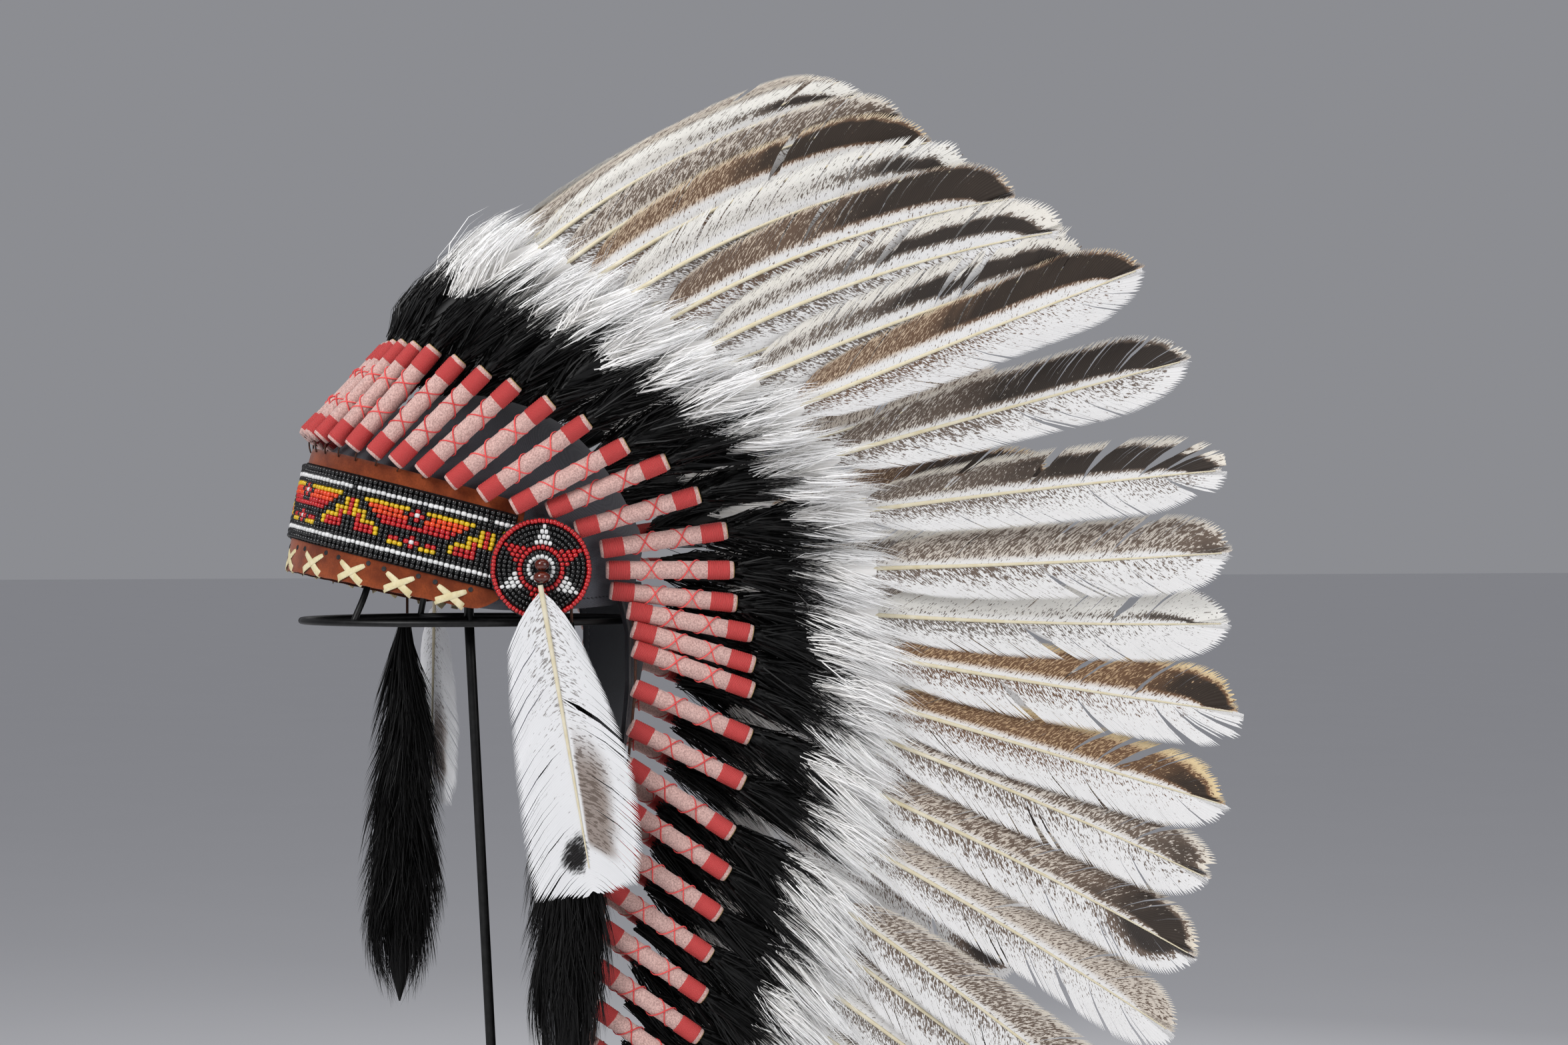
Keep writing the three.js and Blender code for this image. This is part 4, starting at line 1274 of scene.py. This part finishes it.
RING_Y, RING_Z, HUB_Z = -33.6, 649.5, 764
RING_WIDE, RING_LONG = 80, 100  # half sizes
POST, WIRE = 3, 2
POST_FOOT, POST_KNEE = 5, 327
RIB_TURNS = np.radians([40, 160, 280])
# height and radius round the base
BASE = np.array([
    (0, 0.1),
    (0, 138.5),
    (0.5, 139.6),
    (1.5, 140),
    (4.5, 140),
    (5.6, 139.5),
    (6, 138.5),
    (6, 0.1),
])


def stand():
    """A round base, a leaning post, and a ring with three ribs that meet above it."""
    heap = Heap()
    angle = np.arange(96) * 2 * math.pi / 96
    height, radius = BASE[:, :1], BASE[:, 1:]
    plate = [radius * np.cos(angle), radius * np.sin(angle), height + 0 * angle]
    heap.add(np.stack(plate, -1), [grid(len(BASE), 96, closed=True)])
    post = [(0, 0, POST_FOOT), (0, RING_Y / 2, POST_KNEE), (0, RING_Y, RING_Z)]
    heap.add(*tube(smooth_path(post, 24), POST, 16))
    heap.add(*tube([(0, RING_Y, RING_Z - 2), (0, RING_Y, HUB_Z - 20), (0, RING_Y, HUB_Z)], POST, 16))
    turn = np.linspace(0, 2 * math.pi, 97)
    ring = [RING_WIDE * np.sin(turn), RING_Y - RING_LONG * np.cos(turn), RING_Z + 0 * turn]
    heap.add(*tube(np.stack(ring, -1), WIRE, 12))
    for turn in RIB_TURNS:
        foot = np.array([RING_WIDE * math.sin(turn), -RING_LONG * math.cos(turn), 0])

        def at(share, z):
            return np.array([0, RING_Y, z]) + foot * share

        heap.add(*tube([at(0, RING_Z), at(0.5, RING_Z), at(1, RING_Z)], WIRE, 12))
        lower = [(1, RING_Z), (0.87, RING_Z + 24), (0.8, RING_Z + 60)]
        upper = [(0.52, HUB_Z - 16), (0.25, HUB_Z - 5), (0, HUB_Z - 2)]
        heap.add(*tube(smooth_path([at(*knee) for knee in lower + upper], 48), WIRE, 12))
    heap.piece("stand_steel", [steel], "black_steel", ["stand"])


trailer_strap()
stand()

# ---------- floor, light and camera ----------


def plane(name, corners, finish):
    mesh = bpy.data.meshes.new(name)
    mesh.from_pydata(corners, [], [range(len(corners))])
    mesh.materials.append(finish.material)
    piece = bpy.data.objects.new(name, mesh)
    bpy.context.scene.collection.objects.link(piece)


def lamp(name, place, size, power):
    light = bpy.data.lights.new(name, "AREA")
    light.shape = "RECTANGLE"
    light.size, light.size_y = size
    light.energy = power
    piece = bpy.data.objects.new(name, light)
    piece.location = place
    piece.rotation_euler = (TARGET - place).to_track_quat("-Z", "Y").to_euler()
    piece.visible_camera = False
    bpy.context.scene.collection.objects.link(piece)


floor_paint = Finish("floor_paint", Roughness=0.8)
drift = floor_paint.noise(floor_paint.where(), 3)
floor_paint.paint(Base_Color=floor_paint.blend(drift * 0.4, dye("ebebed"), dye("e4e4e6")))
FLOOR_HALF = 40
floor_corners = [(x * FLOOR_HALF, y * FLOOR_HALF, 0) for x, y in ((-1, -1), (1, -1), (1, 1), (-1, 1))]
plane("floor", floor_corners, floor_paint)

world = bpy.data.worlds.new("studio")
world.use_nodes = True
world.node_tree.nodes["Background"].inputs["Color"].default_value = dye("9b9ca1")
world.node_tree.nodes["Background"].inputs["Strength"].default_value = 0.8
bpy.context.scene.world = world

TARGET = Vector((0.0407, 0.1519, 0.708))
AZIMUTH, DISTANCE = math.radians(75), 2.0
SENSOR, LENS, FARTHEST = 36, 75.918367, 50  # two in millimetres and one in metres
# towards the camera, to its right and up from the target, then the size and the power
LAMPS = {
    "key": (1.6, -1.3, 1.3, (1.0, 1.4), 38),
    "fill": (1.5, 1.6, 0.5, (1.4, 1.4), 15),
    "back": (-2.0, 0.8, 0.9, (1.6, 1.6), 11),
    "top": (0, 0, 2.0, (1.6, 1.6), 14),
}
look = Vector((math.sin(AZIMUTH), -math.cos(AZIMUTH), 0))
camera_data = bpy.data.cameras.new("camera")
camera_data.sensor_width, camera_data.lens, camera_data.clip_end = SENSOR, LENS, FARTHEST
camera = bpy.data.objects.new("camera", camera_data)
camera.location = TARGET + look * DISTANCE
camera.rotation_euler = (-look).to_track_quat("-Z", "Y").to_euler()
bpy.context.scene.collection.objects.link(camera)
bpy.context.scene.camera = camera
bpy.context.scene.view_settings.view_transform = "Standard"

to_right = Vector((-look.y, look.x, 0))
for name, (near, right, up, size, power) in LAMPS.items():
    lamp(name, TARGET + look * near + to_right * right + Vector((0, 0, up)), size, power)
